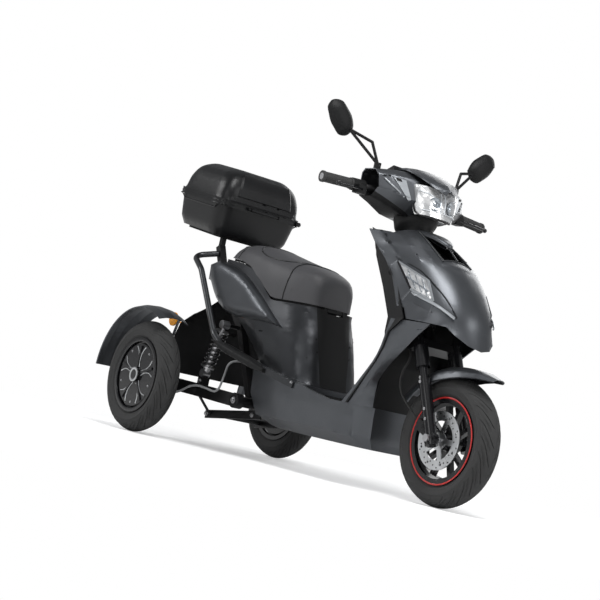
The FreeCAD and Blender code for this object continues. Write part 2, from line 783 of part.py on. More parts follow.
def make_caliper():
    middle = around(front_centre, caliper_angle_deg, caliper_radius_place) - Vector(0, disc_y + disc_thickness / 2, 0)
    body = Part.makeBox(caliper_depth, caliper_width, caliper_length)
    body.translate(Vector(-caliper_depth / 2, -caliper_width / 2, -caliper_length / 2))
    body.Placement = Placement(middle, Rotation(Vector(0, 1, 0), 90 - caliper_angle_deg)).multiply(body.Placement)
    slot = Vector(0, disc_thickness / 2 + running_gap / 4, 0)
    disc_middle = front_centre - Vector(0, disc_y + disc_thickness / 2, 0)
    room = [rod(disc_middle - slot, disc_middle + slot, disc_radius + running_gap)]
    lug_start = Vector(middle.x, middle.y - caliper_width / 2 + caliper_lug_radius / 2, middle.z)
    lug = rod(lug_start, front_centre + steer_up * caliper_length / 2 - Vector(0, fork_leg_y, 0), caliper_lug_radius)
    return clear_of(fused([body, lug]), room + [fork_envelope()])


# Handlebar
def grip_axis():
    """The outer end of the left grip and the direction from there along the bar."""
    outer = Vector(bar_x - grip_sweep, grip_end_y, bar_height - grip_drop)
    return outer, (Vector(bar_x, bar_straight_half, bar_height) - outer).normalize()


def make_handlebar():
    outer, inward = grip_axis()
    knee = Vector(bar_x, bar_straight_half, bar_height)
    points = [Vector(outer.x, -outer.y, outer.z), Vector(knee.x, -knee.y, knee.z), knee, outer]
    bar_tube = tube(points, bar_radius, [bar_bend_radius, bar_bend_radius])
    top = Vector(bar_x, 0, bar_height)
    foot = steer_point(stem_top_along) - (top - steer_point(stem_top_along)).normalize() * overrun
    post = rod(foot, top, stem_radius)
    stem = rod(steer_point(crown_along), steer_point(stem_top_along), stem_radius)
    return fused([bar_tube, clear_of(post, [stem])])


def make_grip():
    outer, inward = grip_axis()
    profile = [(bar_radius + axle_clearance, 0), (grip_flange_radius, 0), (grip_flange_radius, grip_flange_length),
               (grip_radius, grip_flange_length), (grip_radius, grip_length - grip_flange_length),
               (grip_flange_radius, grip_length - grip_flange_length), (grip_flange_radius, grip_length),
               (bar_radius + axle_clearance, grip_length)]
    return turned_along(outer, inward, profile)


def make_pod():
    outer, inward = grip_axis()
    start = outer + inward * (grip_length + seat_gap)
    body = rod(start, start + inward * pod_length, pod_radius)
    middle = start + inward * (pod_length / 2)
    box = block(middle.x, middle.x + pod_box_depth, middle.y - pod_length * 0.35, middle.y + pod_length * 0.35,
                middle.z - pod_box_height, middle.z)
    bore = rod(outer, start + inward * (pod_length * 2), bar_radius + axle_clearance)
    return fused([body, box]).cut(bore)


def make_lever(pod):
    outer, inward = grip_axis()
    drop = Vector(0, 0, lever_drop)
    reach = Vector(lever_reach, 0, 0)
    root = outer + inward * (grip_length + pod_length / 2) + reach * 0.6 - drop
    knee = outer + inward * (grip_length * lever_knee_share) + reach - drop
    tip = outer + inward * (grip_length * lever_tip_share) + reach - drop
    blade = fused([rod(root, knee, lever_radius), rod(knee, tip, lever_radius), Part.makeSphere(lever_ball_radius, tip)])
    return clear_of(blade, [pod])


def cover_solid(inset=0.0, beyond=0.0):
    wires = []
    depth = cover_front_x - cover_back_x
    for side, rows in ((-1, cover_shares), (1, cover_shares[-2::-1])):
        for across, back, front, low, high in rows:
            y = side * (across * cover_half_width + (beyond if across == 1.0 else 0.0))
            x0, x1 = cover_back_x + depth * back + inset, cover_back_x + depth * front - inset
            z0 = between(cover_low, cover_high, low) + inset
            z1 = between(cover_low, cover_high, high) - inset
            wires.append(polygon([Vector(between(x0, x1, (along + 1) / 2), y, between(z0, z1, (up + 1) / 2))
                                  for along, up in cover_ring_shares]))
    return loft(wires)


def make_bar_cover(lamp_room):
    shell = cover_solid().cut(cover_solid(cover_wall, overrun))
    neck = rod(steer_point(collar_low_along), steer_point(collar_high_along + seat_gap), collar_radius + seat_gap)
    return clear_of(shell, [lamp_room, neck])


def make_collar():
    return rod(steer_point(collar_low_along), steer_point(collar_high_along), collar_radius).cut(
        rod(steer_point(collar_low_along - overrun), steer_point(collar_high_along + overrun), collar_bore_radius))


def lamp_solid(grow=0.0):
    wires = []
    for up, across, back, front in filled(lamp_shares):
        z = between(lamp_low_z - grow, lamp_high_z + grow, up)
        x0 = between(lamp_back_x, lamp_front_x, back) - grow
        x1 = between(lamp_back_x, lamp_front_x, front) + grow
        half = lamp_half_width * across + grow
        wires.append(polygon([Vector(between(x0, x1, along), half * side, z) for along, side in lamp_ring_shares]))
    return loft(wires)


def make_dash(cover):
    plate = block(-dash_depth / 2, dash_depth / 2, -dash_half_width, dash_half_width, -dash_thickness, dash_thickness)
    plate.Placement = Placement(Vector(dash_x, 0, dash_z), Rotation(Vector(0, 1, 0), -dash_tilt_deg))
    return clear_of(plate, [cover])


def make_visor(others):
    wires = []
    for along, across, up in filled(visor_shares):
        x = between(visor_back_x, visor_front_x, along)
        z = between(visor_low_z, visor_high_z, up)
        half = visor_half_width * across
        top = [Vector(x, half * side, z + visor_crown * rise) for side, rise in visor_crown_shares]
        low = [point - Vector(0, 0, visor_thickness) for point in reversed(top)]
        wires.append(polygon(top + low))
    return clear_of(loft(wires), others)


def mirror_ring(ahead, width, height):
    """The mirror's outline, at a distance in front of its glass."""
    lean = math.radians(mirror_roll_deg)
    long_axis = Vector(0, math.cos(lean), math.sin(lean))
    short_axis = Vector(0, -math.sin(lean), math.cos(lean))
    middle = Vector(mirror_head_x + ahead, mirror_head_y, mirror_head_z)
    return polygon([middle + long_axis * (width / 2 * along) + short_axis * (height / 2 * up) for along, up in mirror_ring_shares])


def mirror_outer():
    return loft([mirror_ring(mirror_head_depth * ahead, mirror_head_width * grow, mirror_head_height * grow) for ahead, grow in mirror_shares])


def mirror_inner(start, end, border):
    rings = [mirror_ring(ahead, mirror_head_width - 2 * border, mirror_head_height - 2 * border) for ahead in (start, end)]
    return loft(rings)


def make_mirror_head():
    return mirror_outer().cut(mirror_inner(-overrun, mirror_glass_thickness + seat_gap, mirror_border))


def make_mirror_glass():
    return mirror_inner(0.0, mirror_glass_thickness, mirror_border + seat_gap)


def make_mirror_arm(cover):
    """A round foot and two bars that spread and meet again behind the housing."""
    low = Vector(mirror_foot_x, mirror_foot_y, mirror_foot_z - mirror_foot_height)
    top = Vector(mirror_foot_x, mirror_foot_y, mirror_foot_z + mirror_foot_height)
    reach = Vector(mirror_head_x, mirror_head_y, mirror_head_z) - top
    joint = top + reach * mirror_joint_share
    knee = top + reach * mirror_knee_share + Vector(0, -mirror_arm_spread, mirror_arm_spread * mirror_knee_lift_share)
    start = top - Vector(0, 0, mirror_arm_radius)
    pieces = [rod(low, top, mirror_foot_radius), rod(start, knee, mirror_arm_radius), rod(knee, joint, mirror_arm_radius),
              rod(start, joint, mirror_arm_radius), Part.makeSphere(mirror_arm_radius, knee)]
    return clear_of(fused(pieces), [cover, mirror_outer()])


# Front body
def steering_room():
    """The round room that the collar and the column turn in."""
    return rod(steer_point(collar_low_along - collar_radius), steer_point(collar_high_along + collar_radius), collar_radius + running_gap)


def apron_solid(inset=0.0, beyond=0.0):
    wires = []
    for up, back, front, across in filled(apron_shares):
        z = between(apron_low - beyond, apron_high + beyond, up)
        x0 = between(apron_tip_x, apron_beak_x, back)
        x1 = between(apron_tip_x, apron_beak_x, front) - inset
        wires.append(half_ring_z(z, nose_shares, x0, x1, apron_width / 2 * across - inset, beyond))
    return loft(wires)


def apron_under_cut():
    """The room below the apron's lower edge, which falls from the side corners to the beak."""
    far = apron_width
    points = [Vector(apron_corner_x - far, -far, apron_corner_z), Vector(apron_corner_x, -far, apron_corner_z),
              Vector(apron_lip_x, -far, apron_lip_z), Vector(apron_beak_x + overrun, -far, apron_low),
              Vector(apron_beak_x + overrun, -far, apron_low - far), Vector(apron_corner_x - far, -far, apron_low - far)]
    return prism(points, Vector(0, 2 * far, 0))


def side_lamp_prism(grow=0.0):
    points = [Vector(between(apron_tip_x, apron_beak_x, along), side_lamp_inner_y, between(apron_low, apron_high, up))
              for along, up in side_lamp_shares]
    middle = (points[0] + points[1] + points[2] + points[3]) / 4
    return prism([point + (point - middle).normalize() * grow for point in points], Vector(0, apron_width, 0))


def scoop_prism():
    """One nostril of the scoop, open towards the front."""
    points = [Vector(scoop_high_x, scoop_rib_half, scoop_low_z), Vector(scoop_high_x, scoop_half_low, scoop_low_z),
              Vector(scoop_high_x, scoop_half_high, scoop_high_z), Vector(scoop_high_x, scoop_rib_half, scoop_high_z)]
    return prism(points, Vector(apron_width, 0, 0))


def make_apron():
    shell = apron_solid().cut(apron_solid(shield_wall, overrun))
    openings = [apron_under_cut(), steering_room()]
    for opening in (side_lamp_prism(seat_gap), scoop_prism()):
        openings += [opening, mirrored(opening)]
    return clear_of(shell, openings)


def make_side_lamp():
    """A lens flush with the apron, with a rim behind it."""
    return largest(apron_solid().cut(apron_solid(side_lamp_thickness, overrun)).common(side_lamp_prism()))


def shield_place(along, across):
    return between(apron_tip_x, apron_beak_x, along), apron_width / 2 * across


def make_leg_panel(others):
    wires = []
    for up, rear, rear_across, front, front_across in filled(leg_shares):
        z = between(floor_height, leg_top_z, up)
        rear_x, rear_y = shield_place(rear, rear_across)
        front_x, front_y = shield_place(front, front_across)
        start, end = Vector(rear_x, rear_y, z), Vector(front_x, front_y, z)
        outward = Vector(rear_y - front_y, front_x - rear_x, 0).normalize()
        outer = [start, (start + end) / 2 + outward * leg_bow, end]
        wires.append(polygon(outer + [point - outward * panel_wall for point in reversed(outer)]))
    return clear_of(loft(wires), others)


def make_wheel_well(others):
    wires = []
    for up, place in well_shares:
        x = between(well_back_x, well_front_x, place)
        z = between(well_low_z, well_high_z, up)
        wires.append(polygon([Vector(x, -well_half_width, z), Vector(x + panel_wall, -well_half_width, z),
                              Vector(x + panel_wall, well_half_width, z), Vector(x, well_half_width, z)]))
    return clear_of(loft(wires), others)


def make_knee_shield(others):
    wires = []
    for up, rear, edge, rear_across, edge_across, bulge in knee_shares:
        z = between(knee_low_z, knee_high_z, up)
        rear_x, rear_y = shield_place(rear, rear_across)
        edge_x, edge_y = shield_place(edge, edge_across)
        back = knee_bulge * bulge
        outer = [Vector(edge_x, edge_y, z), Vector(rear_x, rear_y, z),
                 Vector(rear_x - back * knee_shoulder_shares[0], rear_y * knee_shoulder_shares[1], z), Vector(rear_x - back, 0, z)]
        forward = Vector(shield_wall, 0, 0)
        inward = Vector(0, -shield_wall, 0)
        inner = [outer[0] + inward, outer[1] + inward + forward, outer[2] + forward, outer[3] + forward]
        side = outer + [Vector(point.x, -point.y, z) for point in outer[2::-1]]
        back_side = [Vector(point.x, -point.y, z) for point in inner[:3]] + inner[::-1]
        wires.append(polygon(side + back_side))
    return clear_of(loft(wires), others)


# Lower body
def hull_solid(inset=0.0):
    wires = []
    for up, back, front, wide in belly_shares:
        z = between(body_low + inset, belly_high + overrun, up)
        x0 = between(belly_back_x, belly_front_x, back) + inset
        x1 = between(belly_back_x, belly_front_x, front) - inset
        wires.append(half_ring_z(z, hull_shares, x0, x1, belly_width / 2 * wide - inset))
    return loft(wires)


def above_deck(lift=0.0):
    """Everything over the deck line, which is level at the feet and rises towards the back."""
    far = overall_length
    points = [Vector(far, -far, floor_height + lift), Vector(deck_bend_x, -far, floor_height + lift),
              Vector(belly_back_x, -far, belly_high + lift), Vector(-far, -far, belly_high + lift), Vector(-far, -far, far),
              Vector(far, -far, far)]
    return prism(points, Vector(0, 2 * far, 0))


def footwell(grow=0.0):
    half = belly_width / 2 - mat_margin + grow
    return block(footwell_back_x - grow, footwell_front_x + grow, -half, half, floor_height - grow, belly_high + grow)


def make_belly(frame_room):
    outer = hull_solid().cut([above_deck(), footwell()])
    inner = hull_solid(belly_wall).cut([above_deck(-belly_wall), footwell(belly_wall)])
    return clear_of(outer, [inner] + frame_room)


def make_floor_board():
    half = belly_width / 2 - mat_margin - belly_wall
    low = floor_height + seat_gap
    sheet = Part.Face(rounded_level(low, floor_back_x, floor_front_x, half, floor_corner)).extrude(Vector(0, 0, mat_thickness))
    ribs = []
    step = (floor_front_x - floor_back_x) / (mat_rib_count + 1)
    for index in range(mat_rib_count):
        x = floor_back_x + step * (index + 1)
        top = low + mat_thickness + mat_rib_height
        ribs.append(block(x - mat_rib_width / 2, x + mat_rib_width / 2, -half + floor_corner, half - floor_corner, low, top))
    return fused([sheet] + ribs)


def make_battery():
    low = body_low + belly_wall + seat_gap
    return block(battery_x - battery_length / 2, battery_x + battery_length / 2, -battery_width / 2, battery_width / 2,
                 low, low + battery_height)


# Seat and its body
def over_seat_line(lift=0.0):
    """Everything over the line that the seat's base follows."""
    far = overall_length
    line = [Vector(between(seat_back_x, seat_front_x, along), -far, between(seat_bottom_height, seat_top_height, up) + lift)
            for along, up in seat_line_shares]
    return prism(line + [Vector(line[-1].x, -far, far), Vector(line[0].x, -far, far)], Vector(0, 2 * far, 0))


def body_solid(inset=0.0):
    wires = []
    for up, back, front, wide in filled(body_shares):
        z = between(body_foot_z, body_crest_z, up)
        x0 = between(body_back_x, body_front_x, back) + inset
        x1 = between(body_back_x, body_front_x, front) - inset
        wires.append(half_ring_z(z, body_ring_shares, x0, x1, body_width / 2 * wide - inset))
    return loft(wires)


def body_outer():
    return body_solid().cut(over_seat_line(-seat_gap)).common(above_deck(seat_gap))


def vent_prism():
    points = [Vector(between(body_back_x, body_front_x, along), body_width / 2 - vent_depth, between(body_foot_z, body_crest_z, up))
              for along, up in vent_shares]
    return prism(points, Vector(0, body_width, 0))


def make_seat_body(frame_room):
    far = overall_length
    room = body_solid(body_wall)
    bay = room.common(block(-far, far, -far, far, bay_floor_z, far))
    below = room.common(block(-far, far, -far, far, 0, bay_floor_z - body_wall))
    shell = body_outer().cut([bay, below] + frame_room)
    pin = Vector(seat_pin_x, 0, seat_pin_z)
    half = Vector(0, seat_pin_half, 0)
    ear = Vector(0, seat_pin_half - seat_ear_width, 0)
    pieces = [largest(shell), rod(pin - half, pin + half, seat_pin_radius)]
    for side in (-1, 1):
        pieces.append(rod(pin + ear * side, pin + half * side, seat_ear_radius))
    notch_half = seat_knuckle_half + seat_notch_margin
    notch = block(seat_pin_x - seat_ear_radius, seat_pin_x + body_wall * 3, -notch_half, notch_half,
                  seat_pin_z - seat_ear_radius - seat_notch_margin, far)
    pieces[0] = pieces[0].cut(notch)
    vent = vent_prism()
    return fused(pieces).cut([vent, mirrored(vent)])


def cushion_solid(width_share=1.0):
    wires = []
    for along, across, top in filled(seat_shares):
        x = between(seat_back_x, seat_front_x, along)
        high = between(seat_bottom_height, seat_top_height, top)
        half = seat_width / 2 * across * width_share
        wires.append(polygon([Vector(x, half * side, between(seat_bottom_height - overrun, high, up)) for side, up in cushion_ring_shares]))
    return loft(wires)


def make_cushion():
    return largest(cushion_solid().common(over_seat_line(seat_pan_thickness + seat_gap)))


def make_seat_pan():
    """The plate under the cushion, with the hinge knuckle at its front edge."""
    pin = Vector(seat_pin_x, 0, seat_pin_z)
    half = Vector(0, seat_knuckle_half, 0)
    plate = cushion_solid(seat_pan_share).common(over_seat_line()).cut(over_seat_line(seat_pan_thickness))
    ahead = block(seat_pin_x - seat_ear_radius - seat_notch_margin, overall_length, -seat_width, seat_width, 0, overall_length)
    web = block(seat_pin_x - seat_knuckle_half, seat_pin_x, -seat_knuckle_half, seat_knuckle_half,
                seat_bottom_height, seat_bottom_height + seat_pan_thickness - seat_notch_margin)
    knuckle = rod(pin - half, pin + half, seat_ear_radius)
    return fused([clear_of(plate, [ahead]), web, knuckle]).cut(rod(pin - half * 2, pin + half * 2, seat_pin_radius + axle_clearance))


def make_side_blade():
    """The raised wing on the body's side, from under the seat's back end down to a point."""
    middle_along, middle_up = blade_middle_shares
    wires = []
    for depth, grow in blade_depth_shares:
        points = []
        for along, up in blade_shares:
            x = between(body_back_x, body_front_x, between(middle_along, along, grow))
            z = between(body_foot_z, body_crest_z, between(middle_up, up, grow))
            points.append(Vector(x, between(blade_inner_y, blade_outer_y, depth), z))
        wires.append(polygon(points))
    return clear_of(loft(wires), [body_solid(), over_seat_line(-running_gap)])


def make_tail_lamp():
    box = block(body_back_x - tail_lamp_depth / 2, body_back_x + tail_lamp_depth, -tail_lamp_half_width, tail_lamp_half_width,
                tail_lamp_z - tail_lamp_height / 2, tail_lamp_z + tail_lamp_height / 2)
    return clear_of(box, [body_solid()])


# Frame
def frame_corners():
    """Corner points of each run of frame tube."""
    spine = [steer_point(head_tube_low_along + head_tube_radius * 2)] + [Vector(x, 0, z) for x, z in spine_places]
    spine += [Vector(frame_front_x, 0, frame_floor_z), Vector(frame_cross_x, 0, frame_floor_z)]
    side = [Vector(frame_cross_x, frame_rail_y, frame_floor_z)] + [Vector(x, frame_rail_y, z) for x, z in rail_places]
    cross = [Vector(frame_cross_x, -frame_rail_y, frame_floor_z), Vector(frame_cross_x, frame_rail_y, frame_floor_z)]
    half = shock_y - shock_eye_half - seat_gap
    shock = [Vector(shock_top_x, -half, shock_top_z), Vector(shock_top_x, half, shock_top_z)]
    return [spine, side, [Vector(point.x, -point.y, point.z) for point in side], cross], shock


def frame_tubes(grow=0.0):
    """The spine, the two floor rails that rise to the tail, and their cross tubes."""
    thick = frame_tube + 2 * grow
    runs, shock = frame_corners()
    pieces = []
    for corners in runs:
        for index in range(len(corners) - 1):
            start, end = corners[index], corners[index + 1]
            lap = (end - start).normalize() * (frame_tube / 2 + grow)
            first = start - lap * (0 if index == 0 and corners is runs[0] else frame_lap_share)
            last = end + lap * frame_lap_share
            pieces.append(bar(first, last, thick, thick))
    pieces.append(rod(shock[0], shock[1], shock_rod_radius + seat_gap + grow))
    pivot = Vector(arm_pivot_x, 0, arm_pivot_z)
    half = Vector(0, pivot_tube_half + grow, 0)
    pieces.append(rod(pivot - half, pivot + half, pivot_tube_radius + grow))
    return fused(pieces)


def make_main_frame():
    head = rod(steer_point(head_tube_low_along), steer_point(head_tube_high_along), head_tube_radius)
    bore = rod(steer_point(head_tube_low_along - overrun), steer_point(head_tube_high_along + overrun),
               stem_radius + steering_bearing_clearance)
    pivot = Vector(arm_pivot_x, 0, arm_pivot_z)
    half = Vector(0, arm_pivot_y + arm_width / 2, 0)
    return fused([head, frame_tubes(), rod(pivot - half, pivot + half, pivot_pin_radius)]).cut(bore)


def arm_hub():
    return Vector(rear_axle_x, arm_axle_y, tyre_radius)


def make_swing_arm():
    pivot = Vector(arm_pivot_x, arm_pivot_y, arm_pivot_z)
    hub = arm_hub()
    eye_half = Vector(0, arm_width / 2, 0)
    end_half = Vector(0, arm_end_half, 0)
    bend = pivot + (hub - pivot) * arm_bend_share - Vector(0, arm_bend_y, 0)
    lap = (hub - bend).normalize() * (arm_bar_width / 4)
    mount_low = (shock_low_x - shock_mount_half, shock_low_x + shock_mount_half, shock_y - shock_eye_half, shock_y + shock_eye_half,
                 arm_pivot_z, shock_low_z - shock_eye_radius - seat_gap)
    gland = rod(Vector(*cable_gland_start), Vector(*motor_cable_route[-1]), cable_gland_radius)
    pieces = [rod(pivot - eye_half, pivot + eye_half, arm_eye_radius), rod(hub - end_half, hub + end_half, arm_eye_radius), gland,
              bar(pivot, bend + lap, arm_bar_width, arm_height), bar(bend - lap, hub, arm_bar_width, arm_height), block(*mount_low)]
    bores = [rod(hub - eye_half, hub + eye_half, rear_axle_radius + axle_clearance),
             rod(pivot - eye_half * 2, pivot + eye_half * 2, pivot_pin_radius + axle_clearance)]
    room = block(hub.x - arm_eye_radius * 2, hub.x + arm_eye_radius * 2, hub.y + arm_end_half, hub.y + arm_width * 2,
                 hub.z - arm_eye_radius * 2, hub.z + arm_eye_radius * 2)
    inner_room = block(hub.x - arm_eye_radius, hub.x + arm_eye_radius, hub.y - arm_width * 2, hub.y - arm_end_half,
                       hub.z - arm_eye_radius * 2, hub.z + arm_eye_radius * 2)
    return clear_of(fused(pieces), bores + [room, inner_room])


def make_rear_axle():
    """An axle with its nut inside the arm and a blind end in the hub."""
    hub = arm_hub()
    start = hub - Vector(0, arm_end_half + seat_gap + rear_nut_length, 0)
    end = Vector(hub.x, wheel_y + motor_width / 2 - seat_gap, hub.z)
    nut = rod(start, start + Vector(0, rear_nut_length, 0), rear_nut_radius)
    return fused([rod(start, end, rear_axle_radius), nut])


def shock_ends():
    low = Vector(shock_low_x, shock_y, shock_low_z)
    top = Vector(shock_top_x, shock_y, shock_top_z)
    return low, (top - low).normalize(), (top - low).Length


def make_shock():
    low, way, length = shock_ends()
    first, last = length * shock_cup_share, length * (1 - shock_cup_share)
    change = length * shock_body_share
    profile = [(0, 0), (shock_body_radius, 0), (shock_body_radius, first), (spring_radius, first),
               (spring_radius, first + shock_cup_thickness), (shock_body_radius, first + shock_cup_thickness),
               (shock_body_radius, change), (shock_rod_radius, change), (shock_rod_radius, last - shock_cup_thickness),
               (spring_radius, last - shock_cup_thickness), (spring_radius, last), (shock_rod_radius, last),
               (shock_rod_radius, length), (0, length)]
    half = Vector(0, shock_eye_half, 0)
    eyes = [rod(place - half, place + half, shock_eye_radius) for place in (low, low + way * length)]
    return fused([turned_along(low, way, profile)] + eyes)


def make_spring():
    """A coil of square-section runs between the two cups."""
    low, way, length = shock_ends()
    start = length * shock_cup_share + shock_cup_thickness + seat_gap + spring_wire_radius
    height = length * (1 - 2 * shock_cup_share) - 2 * (shock_cup_thickness + seat_gap + spring_wire_radius)
    coil_radius = spring_radius - spring_wire_radius
    steps = spring_turns * spring_steps
    wires = []
    for index in range(steps + 1):
        turn = 2 * math.pi * index / spring_steps
        out = Vector(math.cos(turn), math.sin(turn), 0)
        middle = out * coil_radius + Vector(0, 0, height * index / steps)
        up = Vector(0, 0, spring_wire_radius)
        wires.append(polygon([middle + out * spring_wire_radius, middle + up, middle - out * spring_wire_radius, middle - up]))
    coil = loft(wires)
    coil.Placement = Placement(low + way * start, Rotation(Vector(0, 0, 1), way))
    return coil


def link_plate(grow=0.0):
    y = frame_rail_y + frame_tube / 2 + link_plate_thickness / 2
    return bar(Vector(link_plate_front_x, y, link_plate_front_z), Vector(link_plate_back_x, y, link_plate_back_z),
               link_plate_thickness + 2 * grow, link_plate_height + 2 * grow)


def make_lower_bracket(arms):
    """Two plates under the rails, joined at the back, with a rod up to each arm."""
    y = frame_rail_y + frame_tube / 2 + link_plate_thickness / 2
    back = Vector(link_plate_back_x + link_plate_height, 0, link_plate_back_z + link_plate_thickness)
    across = Vector(0, y + link_plate_thickness, 0)
    pieces = [link_plate(), mirrored(link_plate()), rod(back - across, back + across, link_bar_radius)]
    arm_foot = Vector(shock_low_x, shock_y + shock_eye_half, arm_pivot_z)
    tie = rod(back + across, arm_foot, link_rod_radius)
    return clear_of(fused(pieces + [tie, mirrored(tie)]), arms)


# Rear guards and lamps
def make_rear_fender():
    """A crowned strip over the wheel on two stays."""
    centre = Vector(rear_axle_x, wheel_y, tyre_radius)
    radius = tyre_radius + rear_fender_clearance - rear_fender_crown
    outer = []
    inner = []
    for across, rise in zip(rear_fender_across_shares, rear_fender_rise_shares):
        outer.append(Vector(centre.x + radius + rear_fender_wall + rear_fender_crown * rise, centre.y + rear_fender_width / 2 * across, centre.z))
        inner.append(Vector(centre.x + radius + rear_fender_crown * rise,
                            centre.y + (rear_fender_width / 2 - rear_fender_wall) * across, centre.z))
    strip = Part.Face(polygon(outer + inner[::-1]))
    strip.rotate(centre, Vector(0, 1, 0), -rear_fender_front_deg)
    pieces = [strip.revolve(centre, Vector(0, 1, 0), -(rear_fender_back_deg - rear_fender_front_deg))]
    stay_y = arm_axle_y + arm_end_half + rear_stay_radius + seat_gap
    for angle in (rear_stay_front_deg, rear_stay_back_deg):
        base = around(Vector(rear_axle_x, stay_y, tyre_radius), angle, arm_eye_radius * 0.5)
        tip = around(Vector(rear_axle_x, wheel_y - rear_fender_width / 2 + rear_stay_radius, tyre_radius), angle, radius + rear_fender_wall / 2)
        pieces.append(rod(base, tip, rear_stay_radius))
    return fused(pieces).cut(rod(arm_hub(), centre, rear_axle_radius + axle_clearance))


def make_reflector(others):
    centre = Vector(reflector_x, reflector_y, reflector_z)
    disc = rod(centre, centre + Vector(0, reflector_thickness, 0), reflector_radius)
    foot = Vector(reflector_x + reflector_radius, splash_half_width - splash_bow / 2, reflector_z - reflector_radius / 2)
    stalk = rod(centre, foot, reflector_stalk_radius)
    return clear_of(fused([disc, stalk]), others)


def make_splash_guard(others):
    wires = []
    for up, place, across in filled(splash_shares):
        z = between(splash_low_z, splash_high_z, up)
        x = between(splash_back_x, splash_front_x, place)
        back = [Vector(x + splash_bow * bow, splash_half_width * across * side, z) for side, bow in splash_bow_shares]
        wires.append(polygon(back + [point + Vector(panel_wall, 0, 0) for point in reversed(back)]))
    return clear_of(loft(wires), others)


# Rails, rack and box
def footrest_ends():
    return Vector(footrest_back_x, footrest_back_y, footrest_back_z), Vector(footrest_front_x, footrest_front_y, footrest_front_z)


def make_footrest():
    back, front = footrest_ends()
    wires = []
    for share, size in footrest_shares:
        middle = back + (front - back) * share
        wires.append(polygon([middle + Vector(0, footrest_width / 2 * size * across, footrest_height / 2 * size * up)
                              for across, up in footrest_ring_shares]))
    return loft(wires)


def make_side_rail(footrest, hull, frame):
    """A bent tube from the tail to the footrest, and a flat bracket from there to the belly."""
    back, front = footrest_ends()
    points = [Vector(*place) for place in side_rail_route] + [back + (front - back) * rail_lap_share]
    start = Vector(points[0].x, frame_rail_y + frame_tube / 2, points[0].z)
    rail = clear_of(tube([start] + points[1:], rail_radius, side_rail_radii), [footrest, frame])
    foot = Vector(rail_bracket_front_x, belly_width / 2, rail_bracket_front_z)
    plate = clear_of(bar(front - (front - back) * rail_lap_share, foot, rail_bracket_thickness, rail_bracket_height), [footrest, hull])
    return Part.makeCompound([rail, plate])


def pitched(shape):
    turned_shape = shape.copy()
    turned_shape.rotate(Vector(box_front_x, 0, box_low), Vector(0, 1, 0), box_pitch_deg)
    return turned_shape


def box_level(z, grow, inset=0.0):
    length = (box_front_x - box_back_x) * (1 - grow) / 2
    corner = max(box_corner * grow - inset, box_wall)
    return rounded_level(z, box_back_x + length + inset, box_front_x - length - inset, box_width / 2 * grow - inset, corner)


def box_rim(low, high):
    reach = Vector(0, 0, high - low)
    outer = Part.Face(box_level(low, 1.0, -box_lip)).extrude(reach)
    inner = Part.Face(box_level(low - overrun, 1.0, box_wall)).extrude(reach + Vector(0, 0, 2 * overrun))
    return outer.cut(inner)


def box_hinge_centre():
    return Vector(box_front_x + box_lip + box_hinge_radius + seat_gap, 0, box_rim_z)


def make_box_base():
    height = box_rim_z - box_low
    outer = loft([box_level(box_low + height * up, grow) for up, grow in box_base_shares])
    inner = loft([box_level(box_low + box_wall + height * up, grow, box_wall) for up, grow in box_base_shares])
    centre = box_hinge_centre()
    pieces = [outer.cut(inner), box_rim(box_rim_z - box_rim_thickness, box_rim_z)]
    pin = Vector(0, box_hinge_half + 2 * box_lip, 0)
    pieces.append(rod(centre - pin, centre + pin, box_hinge_pin_radius))
    for side in (-1, 1):
        ear_start = Vector(0, side * (box_hinge_half + box_lip), 0)
        ear_end = Vector(0, side * (box_hinge_half + 2 * box_lip), 0)
        pieces.append(rod(centre + ear_start, centre + ear_end, box_hinge_radius))
        low_y, high_y = min(ear_start.y, ear_end.y), max(ear_start.y, ear_end.y)
        pieces.append(block(box_front_x + box_lip / 2, centre.x, low_y, high_y, box_rim_z - box_hinge_radius, box_rim_z - seat_gap))
    return pitched(fused(pieces))


def make_box_lid():
    low = box_rim_z + seat_gap
    height = box_high - low
    outer = loft([box_level(low + height * up, grow) for up, grow in filled(box_lid_shares)])
    inner = loft([box_level(low - box_wall + height * up, grow, box_wall) for up, grow in filled(box_lid_shares)])
    centre = box_hinge_centre()
    half = Vector(0, box_hinge_half, 0)
    web = block(box_front_x, centre.x, -box_hinge_half, box_hinge_half, low, low + box_hinge_radius - seat_gap)
    lid = fused([outer.cut(inner), box_rim(low, low + box_rim_thickness), web, rod(centre - half, centre + half, box_hinge_radius)])
    return pitched(lid.cut(rod(centre - half * 2, centre + half * 2, box_hinge_pin_radius + axle_clearance)))


def make_rack(others):
    length = (box_front_x - box_back_x) * (1 - rack_plate_share) / 2
    low = box_low - seat_gap - rack_plate_thickness
    wire = rounded_level(low, box_back_x + length, box_front_x - length, box_width / 2 * rack_plate_share, box_corner / 2)
    plate = pitched(Part.Face(wire).extrude(Vector(0, 0, rack_plate_thickness)))
    tail_x, tail_z = rail_places[-1]
    rise = (box_front_x - tail_x) * math.tan(math.radians(box_pitch_deg))
    stay = block(tail_x - rack_stay_half, tail_x + rack_stay_half, frame_rail_y - rack_stay_half, frame_rail_y + rack_stay_half,
                 tail_z - frame_tube, low + rise + rack_plate_thickness / 2)
    return clear_of(fused([plate, stay, mirrored(stay)]), others)


os.makedirs("parts", exist_ok=True)
for name in os.listdir("parts"):
    os.remove("parts/" + name)

cover = cover_solid()
lamp = lamp_solid()
dash = make_dash(cover)
pod = make_pod()
crown = make_fork_crown()
frame = make_main_frame()
frame_room = [frame_tubes(running_gap / 3)]
hull = hull_solid()
apron = make_apron()
leg = make_leg_panel([apron, hull])
legs = [leg, mirrored(leg)]
knee = make_knee_shield([apron, steering_room()] + legs + frame_room)
well = make_wheel_well(legs + frame_room)
footrest = make_footrest()
arm = make_swing_arm()
arms = [arm, mirrored(arm)]
splash = make_splash_guard([body_solid()] + frame_room)

